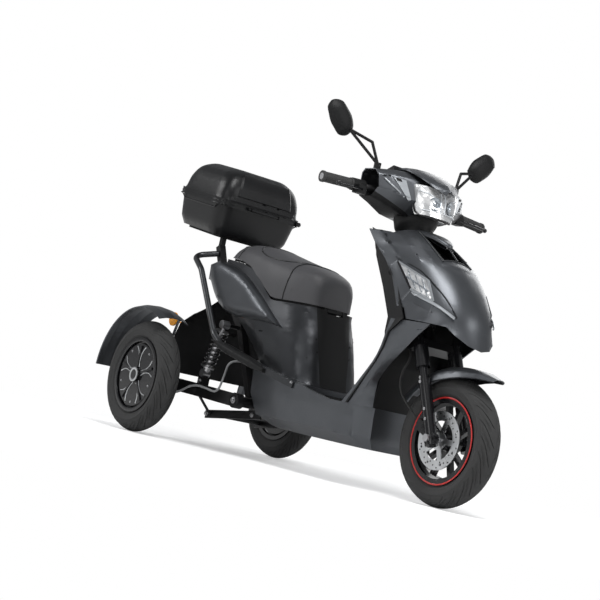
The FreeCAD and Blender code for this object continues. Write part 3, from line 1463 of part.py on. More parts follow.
pieces = {
    "front_tyre": make_tyre(front_centre),
    "front_rim": make_front_rim(front_centre),
    "brake_disc": make_disc(front_centre),
    "fork_crown": crown,
    "fork_legs": both_sides(make_fork_leg()),
    "front_axle": make_front_axle(),
    "front_fender": make_front_fender(),
    "brake_caliper": make_caliper(),
    "handlebar": make_handlebar(),
    "grips": both_sides(make_grip()),
    "switch_pods": both_sides(pod),
    "brake_levers": both_sides(make_lever(pod)),
    "neck_collar": make_collar(),
    "bar_cover": make_bar_cover(lamp_solid(seat_gap)),
    "headlamp": lamp,
    "dash": dash,
    "visor": make_visor([cover, dash, lamp_solid(seat_gap)]),
    "mirror_arms": both_sides(make_mirror_arm(cover)),
    "mirror_heads": both_sides(make_mirror_head()),
    "mirror_glasses": both_sides(make_mirror_glass()),
    "front_apron": apron,
    "side_lamps": both_sides(make_side_lamp()),
    "leg_panels": both_sides(leg),
    "knee_shield": knee,
    "wheel_well": well,
    "belly": make_belly(frame_room + [link_plate(seat_gap), mirrored(link_plate(seat_gap))]),
    "floor_board": make_floor_board(),
    "battery": make_battery(),
    "seat_body": make_seat_body(frame_room),
    "seat_cushion": make_cushion(),
    "seat_pan": make_seat_pan(),
    "side_blades": both_sides(make_side_blade()),
    "tail_lamp": make_tail_lamp(),
    "main_frame": frame,
    "swing_arm_right": arms[1],
    "swing_arm_left": arms[0],
    "rear_axles": both_sides(make_rear_axle()),
    "shocks": both_sides(make_shock()),
    "springs": both_sides(make_spring()),
    "lower_bracket": make_lower_bracket(arms),
    "splash_guard": splash,
    "reflectors": both_sides(make_reflector([splash])),
    "footrests": both_sides(footrest),
    "side_rails": both_sides(make_side_rail(footrest, hull, frame)),
    "box_base": make_box_base(),
    "box_lid": make_box_lid(),
    "rack": make_rack([frame]),
    "brake_hose": cable("brake_hose", brake_hose_route, brake_hose_radius),
    "motor_cable": both_sides(cable("motor_cable", motor_cable_route, motor_cable_radius)),
}
wheel_centre = Vector(rear_axle_x, wheel_y, tyre_radius)
for word, change in (("left", Part.Shape.copy), ("right", mirrored)):
    pieces["rear_tyre_" + word] = change(make_tyre(wheel_centre))
    pieces["rear_hub_" + word] = change(make_rear_hub(wheel_centre))
    pieces["rear_fender_" + word] = change(make_rear_fender())
for name, shape in pieces.items():
    save(name, shape)
centre = pitched(Part.Vertex(box_hinge_centre())).Point
print("lid pivot", round(centre.x / 1000, 6), round(centre.z / 1000, 6))
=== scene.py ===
"""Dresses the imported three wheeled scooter: finishes, tyres, seat, lamps, hardware, camera and light."""
import json
import logging
import math
from dataclasses import dataclass, field
from enum import Enum

import bmesh
import bpy
import numpy as np
from mathutils import Matrix, Vector
from mathutils.bvhtree import BVHTree

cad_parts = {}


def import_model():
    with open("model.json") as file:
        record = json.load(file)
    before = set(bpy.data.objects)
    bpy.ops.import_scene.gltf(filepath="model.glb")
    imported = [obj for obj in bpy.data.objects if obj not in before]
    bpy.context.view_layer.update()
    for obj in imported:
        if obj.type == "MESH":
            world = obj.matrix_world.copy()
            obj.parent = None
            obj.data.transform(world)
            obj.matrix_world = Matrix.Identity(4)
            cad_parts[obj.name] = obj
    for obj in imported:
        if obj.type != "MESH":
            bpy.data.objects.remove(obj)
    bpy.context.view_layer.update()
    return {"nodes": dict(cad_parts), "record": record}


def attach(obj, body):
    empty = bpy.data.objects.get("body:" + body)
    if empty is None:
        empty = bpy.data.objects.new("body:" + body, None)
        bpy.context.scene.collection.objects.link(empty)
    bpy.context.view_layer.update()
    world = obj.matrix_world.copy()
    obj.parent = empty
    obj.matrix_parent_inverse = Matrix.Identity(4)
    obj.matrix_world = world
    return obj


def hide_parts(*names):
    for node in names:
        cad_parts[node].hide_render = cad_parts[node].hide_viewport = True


LOG = logging.getLogger("scooter")
BMesh = bmesh.types.BMesh
Object = bpy.types.Object
Point = tuple[float, float, float]
Colour = tuple[float, float, float]
FACET_RELIEF = 0.006
FINE_RELIEF = 0.001
GRAIN_DETAIL = 3.0
BRUSH_STRETCH = (1.0, 12.0, 1.0)
MOTTLE_DETAIL = 6.0
MOTTLE_ENDS = (0.3, 0.7)
MERGE_DISTANCE = 1e-5
FLAT_DEG = 0.4
SPLIT_ROUNDS = 9
PULL = 0.6


def set_inputs(node: bpy.types.Node, values: dict[str | int, object]) -> None:
    """Sets a shader node's inputs.

    Args:
        node: the node.
        values: the values by the input's name or number.
    """
    for key, value in values.items():
        node.inputs[key].default_value = value


def add_node(tree: bpy.types.NodeTree, kind: str, values: dict[str | int, object] | None = None,
             sources: dict[str | int, bpy.types.NodeSocket] | None = None,
             operation: str = "") -> bpy.types.Node:
    """Adds a shader node with its values and its links.

    Args:
        tree: the node tree.
        kind: the node's type.
        values: the values by the input's name or number.
        sources: the outputs that feed it, by the input's name or number.
        operation: what a node of sums does.

    Returns:
        The node.
    """
    node = tree.nodes.new(kind)
    if operation:
        node.operation = operation
    set_inputs(node, values or {})
    for key, source in (sources or {}).items():
        tree.links.new(source, node.inputs[key])
    return node


class Grain(Enum):
    """How a finish's surface is broken up."""

    SMOOTH = "smooth"
    PEBBLE = "pebble"
    VINYL = "vinyl"
    BRUSHED = "brushed"
    RIBBED = "ribbed"
    FACETS = "facets"


GRAIN_TEXTURES = {
    Grain.VINYL: ("ShaderNodeTexVoronoi", "Distance"),
    Grain.FACETS: ("ShaderNodeTexVoronoi", "Distance"),
    Grain.RIBBED: ("ShaderNodeTexWave", "Fac"),
}


@dataclass(frozen=True)
class Finish:
    """One procedural finish, from its colour to the grain of its surface."""

    name: str
    colour: Colour
    roughness: float = 0.5
    metallic: float = 0.0
    coat: float = 0.0
    coat_roughness: float = 0.1
    specular: float = 0.5
    grain: Grain = Grain.SMOOTH
    grain_scale: float = 400.0
    grain_depth: float = 0.1
    mottle: float = 0.06
    mottle_scale: float = 14.0

    def material(self) -> bpy.types.Material:
        """Returns this finish's material, made once."""
        found = bpy.data.materials.get(self.name)
        if found:
            return found
        material = bpy.data.materials.new(self.name)
        material.use_nodes = True
        tree = material.node_tree
        shader = tree.nodes["Principled BSDF"]
        set_inputs(shader,
                   {"Metallic": self.metallic, "Coat Weight": self.coat,
                    "Coat Roughness": self.coat_roughness, "Specular IOR Level": self.specular})
        place = tree.nodes.new("ShaderNodeTexCoord").outputs["Object"]
        self._mottle(tree, shader, place)
        if self.grain is not Grain.SMOOTH:
            self._grain(tree, shader, place)
        return material

    def _mottle(self, tree: bpy.types.NodeTree, shader: bpy.types.Node,
                place: bpy.types.NodeSocket) -> None:
        """Varies the colour and the gloss gently over the surface.

        Args:
            tree: the material's node tree.
            shader: its surface shader.
            place: the coordinates that the pattern follows.
        """
        noise = add_node(tree, "ShaderNodeTexNoise", {"Scale": self.mottle_scale, "Detail": MOTTLE_DETAIL},
                         {"Vector": place})
        spread = self.mottle * 2
        low = 1.0 - spread
        high = 1.0 + spread
        tint = add_node(tree, "ShaderNodeValToRGB", {}, {"Fac": noise.outputs["Fac"]})
        for element, position, share in zip(tint.color_ramp.elements, MOTTLE_ENDS, (low, high)):
            element.position = position
            element.color = (*[min(part * share, 1.0) for part in self.colour], 1.0)
        tree.links.new(tint.outputs["Color"], shader.inputs["Base Color"])
        ends = {"To Min": max(self.roughness * low, 0.0), "To Max": min(self.roughness * high, 1.0)}
        gloss = add_node(tree, "ShaderNodeMapRange", ends, {"Value": noise.outputs["Fac"]})
        tree.links.new(gloss.outputs["Result"], shader.inputs["Roughness"])

    def _grain(self, tree: bpy.types.NodeTree, shader: bpy.types.Node, place: bpy.types.NodeSocket) -> None:
        """Adds the small relief of the finish.

        Args:
            tree: the material's node tree.
            shader: its surface shader.
            place: the coordinates that the pattern follows.
        """
        mapping = add_node(tree, "ShaderNodeMapping", {}, {"Vector": place})
        if self.grain is Grain.BRUSHED:
            set_inputs(mapping, {"Scale": BRUSH_STRETCH})
        kind, output = GRAIN_TEXTURES.get(self.grain, ("ShaderNodeTexNoise", "Fac"))
        texture = add_node(tree, kind, {"Scale": self.grain_scale}, {"Vector": mapping.outputs["Vector"]})
        if self.grain is Grain.FACETS:
            texture.distance = "CHEBYCHEV"
        elif self.grain not in GRAIN_TEXTURES:
            set_inputs(texture, {"Detail": GRAIN_DETAIL})
        relief = FACET_RELIEF if self.grain is Grain.FACETS else FINE_RELIEF
        values = {"Strength": self.grain_depth, "Distance": relief}
        bump = add_node(tree, "ShaderNodeBump", values, {"Height": texture.outputs[output]})
        tree.links.new(bump.outputs["Normal"], shader.inputs["Normal"])


PANEL = Finish("satin_gunmetal", (0.086, 0.091, 0.099), 0.38, 0.85, 0.15, 0.25, grain=Grain.PEBBLE,
               grain_scale=900.0, grain_depth=0.02, mottle=0.03)
# A darker copy of the gunmetal paint: painted shade, used on the seat body's sides and along the apron's
# creases.
SHADE = Finish("shaded_gunmetal", (0.040, 0.042, 0.046), 0.36, 0.8, 0.15, 0.25, grain=Grain.PEBBLE,
               grain_scale=900.0, grain_depth=0.02, mottle=0.03)
BLACK = Finish("grained_black", (0.0065, 0.0067, 0.007), 0.52, specular=0.22, grain=Grain.PEBBLE,
               grain_scale=1400.0, grain_depth=0.2)
BOX_BLACK = Finish("box_black", (0.006, 0.0062, 0.0068), 0.34, specular=0.30, grain=Grain.PEBBLE,
                   grain_scale=1100.0, grain_depth=0.16)
# A near-black copy of the black plastic, darker than the plastic itself: painted shade on the sunken floor
# of the scoop.
SCOOP_SHADE = Finish("scoop_painted_shade", (0.0015, 0.0015, 0.0016), 0.8, specular=0.04)
GLOSS = Finish("gloss_black", (0.007, 0.007, 0.008), 0.24, coat=0.25, specular=0.3, mottle=0.03)
FRAME = Finish("frame_black", (0.007, 0.007, 0.0075), 0.34, coat=0.15, specular=0.3, grain=Grain.PEBBLE,
               grain_scale=300.0, grain_depth=0.04)
RAIL = Finish("rail_grey", (0.045, 0.047, 0.050), 0.30, 0.7, 0.2, 0.2)
RUBBER = Finish("tyre_rubber", (0.0085, 0.0088, 0.009), 0.55, specular=0.3, grain=Grain.PEBBLE,
                grain_scale=700.0, grain_depth=0.18)
GRIP = Finish("grip_rubber", (0.008, 0.008, 0.008), 0.55, specular=0.3, grain=Grain.PEBBLE,
              grain_scale=1500.0, grain_depth=0.3)
CABLE = Finish("cable_grey", (0.24, 0.245, 0.25), 0.5, grain=Grain.PEBBLE, grain_scale=900.0,
               grain_depth=0.1)
HOSE = Finish("hose_black", (0.010, 0.010, 0.010), 0.45, specular=0.35, grain=Grain.PEBBLE,
              grain_scale=900.0, grain_depth=0.1)
STEEL = Finish("turned_steel", (0.60, 0.61, 0.62), 0.28, 1.0, grain=Grain.BRUSHED, grain_scale=350.0,
               grain_depth=0.06)
ZINC = Finish("zinc_bolt", (0.46, 0.46, 0.47), 0.33, 1.0, grain=Grain.PEBBLE, grain_scale=800.0,
              grain_depth=0.05)
CAST = Finish("cast_black", (0.012, 0.012, 0.013), 0.5, specular=0.3, grain=Grain.PEBBLE,
              grain_scale=260.0, grain_depth=0.2)
VINYL = Finish("seat_vinyl", (0.0045, 0.0047, 0.0052), 0.50, specular=0.09, grain=Grain.VINYL,
               grain_scale=520.0, grain_depth=0.22)
PIPING = Finish("seat_piping", (0.010, 0.0105, 0.011), 0.35, specular=0.35, grain=Grain.PEBBLE,
                grain_scale=1500.0, grain_depth=0.1)
CHROME = Finish("lamp_chrome", (0.80, 0.83, 0.86), 0.22, 0.55, 1.0, 0.04, grain=Grain.FACETS,
                grain_scale=34.0, grain_depth=0.55, mottle=0.30, mottle_scale=16.0)
PEARL = Finish("light_guide", (0.62, 0.65, 0.68), 0.25, coat=0.6, mottle=0.05)
SILVER = Finish("silver_trim", (0.40, 0.42, 0.44), 0.3, 0.8, 0.3, mottle=0.04)
BULB = Finish("lamp_bulb", (0.30, 0.33, 0.36), 0.08, 0.6, 1.0, 0.02, mottle=0.2, mottle_scale=60.0)
AMBER = Finish("amber_lens", (0.62, 0.22, 0.015), 0.2, coat=0.6, grain=Grain.VINYL, grain_scale=420.0,
               grain_depth=0.5)
RED = Finish("red_lens", (0.35, 0.010, 0.010), 0.14, coat=0.6, grain=Grain.RIBBED, grain_scale=60.0,
             grain_depth=0.3)
STRIPE = Finish("rim_stripe", (0.50, 0.022, 0.020), 0.34, specular=0.4, coat=0.15, mottle=0.04)
MIRROR = Finish("mirror_face", (0.86, 0.88, 0.90), 0.03, 1.0, mottle=0.0)
CASE = Finish("battery_case", (0.01, 0.01, 0.011), 0.5, grain=Grain.PEBBLE, grain_scale=900.0,
              grain_depth=0.1)

NODE_FINISHES: dict[Finish, tuple[str, ...]] = {
    PANEL: ("front_apron", "leg_panels", "belly", "side_blades", "front_fender", "rear_fender_right",
            "rear_fender_left", "bar_cover"),
    BLACK: ("knee_shield", "wheel_well", "seat_body", "floor_board", "splash_guard", "visor",
            "neck_collar", "dash", "seat_pan",
            "rack", "mirror_heads", "mirror_arms", "footrests", "switch_pods"),
    BOX_BLACK: ("box_base", "box_lid"),
    FRAME: ("main_frame", "swing_arm_right", "swing_arm_left", "lower_bracket", "springs", "fork_crown"),
    GLOSS: ("front_rim", "rear_hub_right", "rear_hub_left", "fork_legs", "brake_levers"),
    RAIL: ("side_rails",),
    RUBBER: ("front_tyre", "rear_tyre_right", "rear_tyre_left"),
    GRIP: ("grips",),
    CABLE: ("motor_cable",),
    HOSE: ("brake_hose",),
    STEEL: ("brake_disc",),
    ZINC: ("front_axle", "rear_axles", "handlebar", "shocks"),
    CAST: ("brake_caliper",),
    VINYL: ("seat_cushion",),
    CHROME: ("headlamp", "side_lamps"),
    RED: ("tail_lamp",),
    AMBER: ("reflectors",),
    MIRROR: ("mirror_glasses",),
    CASE: ("battery",),
}


def dress_nodes(nodes: dict[str, Object]) -> None:
    """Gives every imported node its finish.

    Args:
        nodes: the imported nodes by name.
    """
    for finish, names in NODE_FINISHES.items():
        for name in names:
            for slot in nodes[name].material_slots:
                slot.material = finish.material()


@dataclass
class Studio:
    """The camera, the pale floor and the soft lamps."""

    eye: Point = (4.1974, -3.2596, 0.2226)
    forward: Point = (-0.8028, 0.5924, 0.0668)
    up: Point = (-0.0722, -0.2079, 0.9755)
    lens: float = 91.86
    sensor: float = 36.0
    room_strength: float = 0.30
    floor_size: float = 60.0
    floor_lift: float = 0.34
    fade_start: float = 1.0
    fade_end: float = 2.2
    lamps: list[tuple[Point, Point, float, float]] = field(default_factory=lambda: [
        ((1.6, -0.9, 3.3), (0.4, -0.1, 0.5), 1.7, 80.0),
        ((3.4, 1.4, 1.9), (0.5, 0.0, 0.6), 1.3, 26.0),
        ((-2.4, -2.6, 2.3), (-0.4, 0.0, 0.5), 1.4, 38.0),
        ((-1.4, 3.0, 2.4), (0.0, 0.0, 0.6), 2.4, 36.0),
        ((1.4, -3.2, 1.3), (0.1, 0.0, 0.35), 1.6, 16.0),
    ])

    def build(self) -> None:
        """Sets up the camera, the lamps, the floor and the world."""
        self._camera()
        self._lamps()
        self._floor()
        self._world()
        bpy.context.scene.view_settings.view_transform = "Standard"

    def _camera(self) -> None:
        """Places the camera at the photograph's view of the vehicle."""
        data = bpy.data.cameras.new("camera")
        data.lens = self.lens
        data.sensor_width = self.sensor
        camera = bpy.data.objects.new("camera", data)
        bpy.context.collection.objects.link(camera)
        back = -Vector(self.forward).normalized()
        right = Vector(self.up).cross(back).normalized()
        up = back.cross(right)
        turn = Matrix((right, up, back)).transposed().to_4x4()
        camera.matrix_world = Matrix.Translation(self.eye) @ turn
        bpy.context.scene.camera = camera

    def _lamps(self) -> None:
        """Hangs one large soft lamp for each row."""
        for index, (place, aim, size, power) in enumerate(self.lamps):
            data = bpy.data.lights.new(f"soft_lamp_{index}", "AREA")
            data.shape = "DISK"
            data.size = size
            data.energy = power
            lamp = bpy.data.objects.new(f"soft_lamp_{index}", data)
            bpy.context.collection.objects.link(lamp)
            lamp.location = place
            lamp.rotation_euler = (Vector(aim) - Vector(place)).to_track_quat("-Z", "Y").to_euler()

    def _floor(self) -> None:
        """Lays a pale floor that the camera sees as near white, with the vehicle's shadow."""
        half = self.floor_size / 2
        mesh = bpy.data.meshes.new("floor")
        mesh.from_pydata([(-half, -half, 0.0), (half, -half, 0.0), (half, half, 0.0), (-half, half, 0.0)],
                         [], [(0, 1, 2, 3)])
        floor = bpy.data.objects.new("floor", mesh)
        bpy.context.collection.objects.link(floor)
        material = bpy.data.materials.new("pale_floor")
        material.use_nodes = True
        tree = material.node_tree
        shader = tree.nodes["Principled BSDF"]
        set_inputs(shader,
                   {"Base Color": (0.9, 0.9, 0.9, 1.0), "Roughness": 0.95, "Specular IOR Level": 0.1,
                    "Emission Color": (1.0, 1.0, 1.0, 1.0)})
        path = add_node(tree, "ShaderNodeLightPath")
        lift = add_node(tree, "ShaderNodeMath", {1: self.floor_lift}, {0: path.outputs["Is Camera Ray"]},
                        "MULTIPLY")
        tree.links.new(lift.outputs["Value"], shader.inputs["Emission Strength"])
        place = add_node(tree, "ShaderNodeTexCoord")
        distance = add_node(tree, "ShaderNodeVectorMath", {}, {0: place.outputs["Object"]}, "LENGTH")
        ends = {"From Min": self.fade_start, "From Max": self.fade_end}
        fade = add_node(tree, "ShaderNodeMapRange", ends, {"Value": distance.outputs["Value"]})
        white = add_node(tree, "ShaderNodeEmission")
        feeds = {"Fac": fade.outputs["Result"], 1: shader.outputs["BSDF"], 2: white.outputs["Emission"]}
        mix = add_node(tree, "ShaderNodeMixShader", {}, feeds)
        tree.links.new(mix.outputs["Shader"], tree.nodes["Material Output"].inputs["Surface"])
        mesh.materials.append(material)

    def _world(self) -> None:
        """Lights the whole room softly and shows the camera a white backdrop."""
        world = bpy.data.worlds.new("studio")
        bpy.context.scene.world = world
        world.use_nodes = True
        tree = world.node_tree
        room = tree.nodes["Background"]
        set_inputs(room, {"Color": (0.92, 0.94, 0.97, 1.0), "Strength": self.room_strength})
        white = add_node(tree, "ShaderNodeBackground", {"Color": (1.0, 1.0, 1.0, 1.0)})
        path = add_node(tree, "ShaderNodeLightPath")
        feeds = {"Fac": path.outputs["Is Camera Ray"], 1: room.outputs["Background"],
                 2: white.outputs["Background"]}
        mix = add_node(tree, "ShaderNodeMixShader", {}, feeds)
        tree.links.new(mix.outputs["Shader"], tree.nodes["World Output"].inputs["Surface"])


@dataclass
class Workshop:
    """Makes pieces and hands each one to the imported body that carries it."""

    nodes: dict[str, Object]
    record: dict
    body_of: dict[str, str] = field(default_factory=dict)
    slot_of: dict[str, str] = field(default_factory=dict)

    def __post_init__(self) -> None:
        """Reads which body and which material slot each node has."""
        for body, names in self.record["behaviour"]["bodies"].items():
            self.body_of.update({name: body for name in names})
        self.slot_of = {row["node"]: row["material_slot"] for row in self.record["subparts"]}

    def add(self, name: str, mesh: BMesh, finish: Finish | list[Finish], on: str,
            replaced: tuple[str, ...] = (), keep_deg: float = 35.0, slot: str = "") -> Object:
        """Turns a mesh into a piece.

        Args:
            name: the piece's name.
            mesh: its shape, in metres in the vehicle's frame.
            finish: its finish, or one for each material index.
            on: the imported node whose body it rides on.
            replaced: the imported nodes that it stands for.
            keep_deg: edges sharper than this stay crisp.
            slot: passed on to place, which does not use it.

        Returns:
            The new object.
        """
        for face in mesh.faces:
            face.smooth = True
        for edge in mesh.edges:
            edge.smooth = edge.calc_face_angle(0.0) < math.radians(keep_deg)
        data = bpy.data.meshes.new(name)
        mesh.to_mesh(data)
        mesh.free()
        piece = bpy.data.objects.new(name, data)
        bpy.context.collection.objects.link(piece)
        return self.place(piece, finish, on, replaced, slot)

    def place(self, piece: Object, finish: Finish | list[Finish], on: str, replaced: tuple[str, ...] = (),
              slot: str = "") -> Object:
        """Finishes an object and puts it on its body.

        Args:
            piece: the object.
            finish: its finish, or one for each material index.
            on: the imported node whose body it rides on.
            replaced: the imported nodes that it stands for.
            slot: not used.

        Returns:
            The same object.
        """
        for one in finish if isinstance(finish, list) else [finish]:
            piece.data.materials.append(one.material())
        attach(piece, self.body_of[on])
        if replaced:
            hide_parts(*replaced)
        return piece

    def tree(self, node: str) -> BVHTree:
        """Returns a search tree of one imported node's surface.

        Args:
            node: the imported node.
        """
        mesh = bmesh.new()
        mesh.from_mesh(self.nodes[node].data)
        tree = BVHTree.FromBMesh(mesh)
        mesh.free()
        return tree


def soften(source: Object, cell: float = 0.011, passes: int = 14, keep_deg: float = 40.0) -> BMesh:
    """Rounds the mild bends of a packed skin and keeps its crisp edges.

    Args:
        source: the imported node, which stays as it is.
        cell: the longest edge of the finer mesh.
        passes: how often each free point moves towards its neighbours.
        keep_deg: edges sharper than this hold still.

    Returns:
        The finer, rounder mesh.
    """
    mesh = bmesh.new()
    mesh.from_mesh(source.data)
    bmesh.ops.remove_doubles(mesh, verts=mesh.verts, dist=MERGE_DISTANCE)
    bmesh.ops.dissolve_limit(mesh, angle_limit=math.radians(FLAT_DEG), verts=mesh.verts, edges=mesh.edges)
    bmesh.ops.triangulate(mesh, faces=mesh.faces)
    for _ in range(SPLIT_ROUNDS):
        long_edges = [edge for edge in mesh.edges if edge.calc_length() > cell]
        if not long_edges:
            break
        bmesh.ops.subdivide_edges(mesh, edges=long_edges, cuts=1)
        bmesh.ops.triangulate(mesh, faces=[face for face in mesh.faces if len(face.verts) > 3])
    mesh.verts.index_update()
    places = np.array([vert.co for vert in mesh.verts])
    ends = np.array([[edge.verts[0].index, edge.verts[1].index] for edge in mesh.edges])
    sharp = np.array([edge.calc_face_angle(3.0) > math.radians(keep_deg) for edge in mesh.edges])
    held = np.zeros(len(places), bool)
    held[ends[sharp].ravel()] = True
    count = np.bincount(ends.ravel(), minlength=len(places)).astype(float)
    for _ in range(passes):
        total = np.zeros_like(places)
        np.add.at(total, ends[:, 0], places[ends[:, 1]])
        np.add.at(total, ends[:, 1], places[ends[:, 0]])
        step = (total / np.maximum(count, 1.0)[:, None] - places) * PULL
        step[held] = 0.0
        places += step
    for vert, place in zip(mesh.verts, places):
        vert.co = place
    return mesh


def skin(mesh: BMesh, rows: list[list[bmesh.types.BMVert]], ring: bool = False) -> None:
    """Puts faces between rows of points.

    Args:
        mesh: the mesh that holds the points.
        rows: the points, row by row.
        ring: whether each row's end meets its start.
    """
    for near, far in zip(rows, rows[1:]):
        for place in range(len(near) if ring else len(near) - 1):
            after = (place + 1) % len(near)
            mesh.faces.new((near[place], near[after], far[after], far[place]))


def aimed(place: Vector, way: Vector, up: str = "Z") -> Matrix:
    """Returns the matrix that sets a turned piece's axle along a direction.

    Args:
        place: where its middle goes.
        way: where its axle points.
        up: the axis of the piece that stays as upright as it can.
    """
    return Matrix.Translation(place) @ way.to_track_quat("Y", up).to_matrix().to_4x4()


def lathe(profile: list[tuple[float, float]], centre: Vector, steps: int = 96,
          closed: bool = False) -> BMesh:
    """Turns an outline about a crosswise axle.

    Args:
        profile: pairs of radius and Y distance from the centre.
        centre: the middle of the axle.
        steps: how many sides it has round.
        closed: whether the outline's end meets its start.

    Returns:
        The turned mesh.
    """
    mesh = bmesh.new()
    rings = []
    for index in range(steps):
        angle = math.tau * index / steps
        rings.append([mesh.verts.new((centre.x + radius * math.cos(angle), centre.y + y, centre.z
                                      + radius * math.sin(angle))) for radius, y in profile])
    skin(mesh, rings + rings[:1], closed)
    bmesh.ops.recalc_face_normals(mesh, faces=mesh.faces)
    return mesh


def mirror_copy(mesh: BMesh) -> BMesh:
    """Returns the mesh together with its mirror image across the vehicle's middle.

    Args:
        mesh: the left side's mesh.
    """
    other = bmesh.ops.duplicate(mesh, geom=mesh.verts[:] + mesh.edges[:] + mesh.faces[:])["geom"]
    for part in other:
        if isinstance(part, bmesh.types.BMVert):
            part.co.y = -part.co.y
    bmesh.ops.reverse_faces(mesh, faces=[part for part in other if isinstance(part, bmesh.types.BMFace)])
    return mesh


def join(meshes: list[BMesh]) -> BMesh:
    """Joins several meshes into one.

    Args:
        meshes: the meshes, which are freed.

    Returns:
        The joined mesh.
    """
    whole = bmesh.new()
    for mesh in meshes:
        data = bpy.data.meshes.new("joined")
        mesh.to_mesh(data)
        mesh.free()
        whole.from_mesh(data)
        bpy.data.meshes.remove(data)
    return whole


def bead(points: list[Vector], radius: float, sides: int = 8, flat: float = 1.0,
         flat_way: Vector | None = None) -> BMesh:
    """A round or flattened strand along a run of points, with closed ends.

    Args:
        points: the run's points.
        radius: its half thickness.
        sides: how many sides it has.
        flat: the share of the thickness that stays along flat_way.
        flat_way: the way in which it is flattened.

    Returns:
        The strand's mesh.
    """
    mesh = bmesh.new()
    rings = []
    for index, point in enumerate(points):
        ahead = (points[min(index + 1, len(points) - 1)] - points[max(index - 1, 0)]).normalized()
        side = ahead.cross(flat_way or Vector((0, 0, 1)))
        side = side.normalized() if side.length > 1e-4 else ahead.orthogonal().normalized()
        up = side.cross(ahead).normalized()
        ring = []
        for turn in range(sides):
            angle = math.tau * turn / sides
            ring.append(mesh.verts.new(point + side * (radius * math.cos(angle))
                                       + up * (radius * flat * math.sin(angle))))
        rings.append(ring)
    skin(mesh, rings, True)
    mesh.faces.new(rings[0])
    mesh.faces.new(rings[-1][::-1])
    bmesh.ops.recalc_face_normals(mesh, faces=mesh.faces)
    return mesh


def curve_points(points: list[Vector], steps: int = 6) -> list[Vector]:
    """Returns points on a smooth curve through the given ones.

    Args:
        points: the points to pass through.
        steps: how many there are from each given point to the next.
    """
    result = []
    for index in range(len(points) - 1):
        start, end = points[index], points[index + 1]
        before = points[index - 1] if index else start
        after = points[index + 2] if index + 2 < len(points) else end
        for step in range(steps):
            share = step / steps
            ease = share * share * (3 - 2 * share)
            result.append(start + (end - start) * ease + (end - before) * (share * (1 - share) ** 2 / 2)
                          + (after - start) * (share * share * (share - 1) / 2))
    return result + [points[-1]]


BOLT_SIDES = 24
BOLT_ROWS = ((0.0, 1.0, False), (0.25, 1.0, False), (0.3, 0.82, False), (0.3, 0.72, True),
             (0.9, 0.72, True), (1.0, 0.62, True))


def bolt(place: Vector, way: Vector, radius: float, height: float) -> BMesh:
    """A hexagon head with a domed washer under it.

    Args:
        place: the middle of its seat.
        way: where its head points.
        radius: the washer's radius.
        height: the height of head and washer together.

    Returns:
        The bolt's mesh.
    """
    mesh = bmesh.new()
    out = way.normalized()
    side = out.orthogonal().normalized()
    other = out.cross(side)
    rings = []
    for share, size, is_hexagon in BOLT_ROWS:
        ring = []
        for index in range(BOLT_SIDES):
            turn = math.tau * index / BOLT_SIDES
            corner = math.cos(math.pi / 6) / math.cos((turn % (math.pi / 3)) - math.pi / 6)
            reach = radius * size * corner if is_hexagon else radius * size
            arm = (side * math.cos(turn) + other * math.sin(turn)) * reach
            ring.append(mesh.verts.new(place + out * (height * share) + arm))
        rings.append(ring)
    skin(mesh, rings, True)
    mesh.faces.new(rings[0][::-1])
    mesh.faces.new(rings[-1])
    bmesh.ops.recalc_face_normals(mesh, faces=mesh.faces)
    return mesh


@dataclass
class Group:
    """A group of pieces that one workshop makes and places."""

    shop: Workshop


@dataclass
class Tyre(Group):
    """A road tyre with slanted grooves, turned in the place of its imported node."""

    node: str
    centre: Vector
    groove_count: int = 22
    slant_deg: float = 30.0
    slant_power: float = 1.4
    groove_depth: float = 0.0042
    half_width: float = 0.042
    tread_radius: float = 0.172
    columns: tuple[float, ...] = (0.0, 0.35, 1.0, 1.35, 2.5, 3.7, 4.9, 6.1, 7.3, 8.5, 9.6)
    period: float = 10.7
    section: tuple[tuple[float, float], ...] = (
        (0.128, 0.0286), (0.1385, 0.0288), (0.1405, 0.0310), (0.146, 0.0350), (0.1475, 0.0368),
        (0.1495, 0.0368), (0.1510, 0.0372), (0.158, 0.0408), (0.165, 0.0424), (0.1665, 0.0434),
        (0.1685, 0.0434), (0.170, 0.0424), (0.176, 0.0418), (0.182, 0.0396), (0.187, 0.0362),
        (0.1915, 0.0318), (0.195, 0.0268), (0.198, 0.0214), (0.2008, 0.0156), (0.2030, 0.0100),
        (0.2044, 0.0050), (0.2048, 0.0))

    def build(self) -> None:
        """Makes the tyre."""
        right = [(radius, -y) for radius, y in self.section]
        outline = right + [(radius, y) for radius, y in self.section[-2::-1]]
        mesh = bmesh.new()
        rings = []
        for groove in range(self.groove_count):
            for column, place in enumerate(self.columns):
                ring = []
                for radius, y in outline:
                    across = abs(y) / self.half_width
                    slant = math.radians(self.slant_deg) * across ** self.slant_power
                    offset = 0.5 * min(across * 6, 1.0) if y > 0 else 0.0
                    angle = math.tau * (groove + offset + place / self.period) / self.groove_count + slant
                    reach = radius - self._depth(column, across, radius)
                    ring.append(mesh.verts.new((self.centre.x + reach * math.cos(angle), self.centre.y + y,
                                                self.centre.z + reach * math.sin(angle))))
                rings.append(ring)
        skin(mesh, rings + rings[:1], True)
        bmesh.ops.recalc_face_normals(mesh, faces=mesh.faces)
        self.shop.add(self.node + "_tread", mesh, RUBBER, self.node, (self.node,), 28.0)

    def _depth(self, column: int, across: float, radius: float) -> float:
        """Returns how deep the tread is cut at one place.

        Args:
            column: the place's column within its groove's period.
            across: its distance from the middle, as a share of half the width.
            radius: its distance from the axle.
        """
        if radius <= self.tread_radius:
            return 0.0
        if column in (1, 2) and 0.16 < across < 0.99:
            return self.groove_depth
        if column in (6, 7) and 0.5 < across < 0.9:
            return self.groove_depth * 0.8
        return 0.0


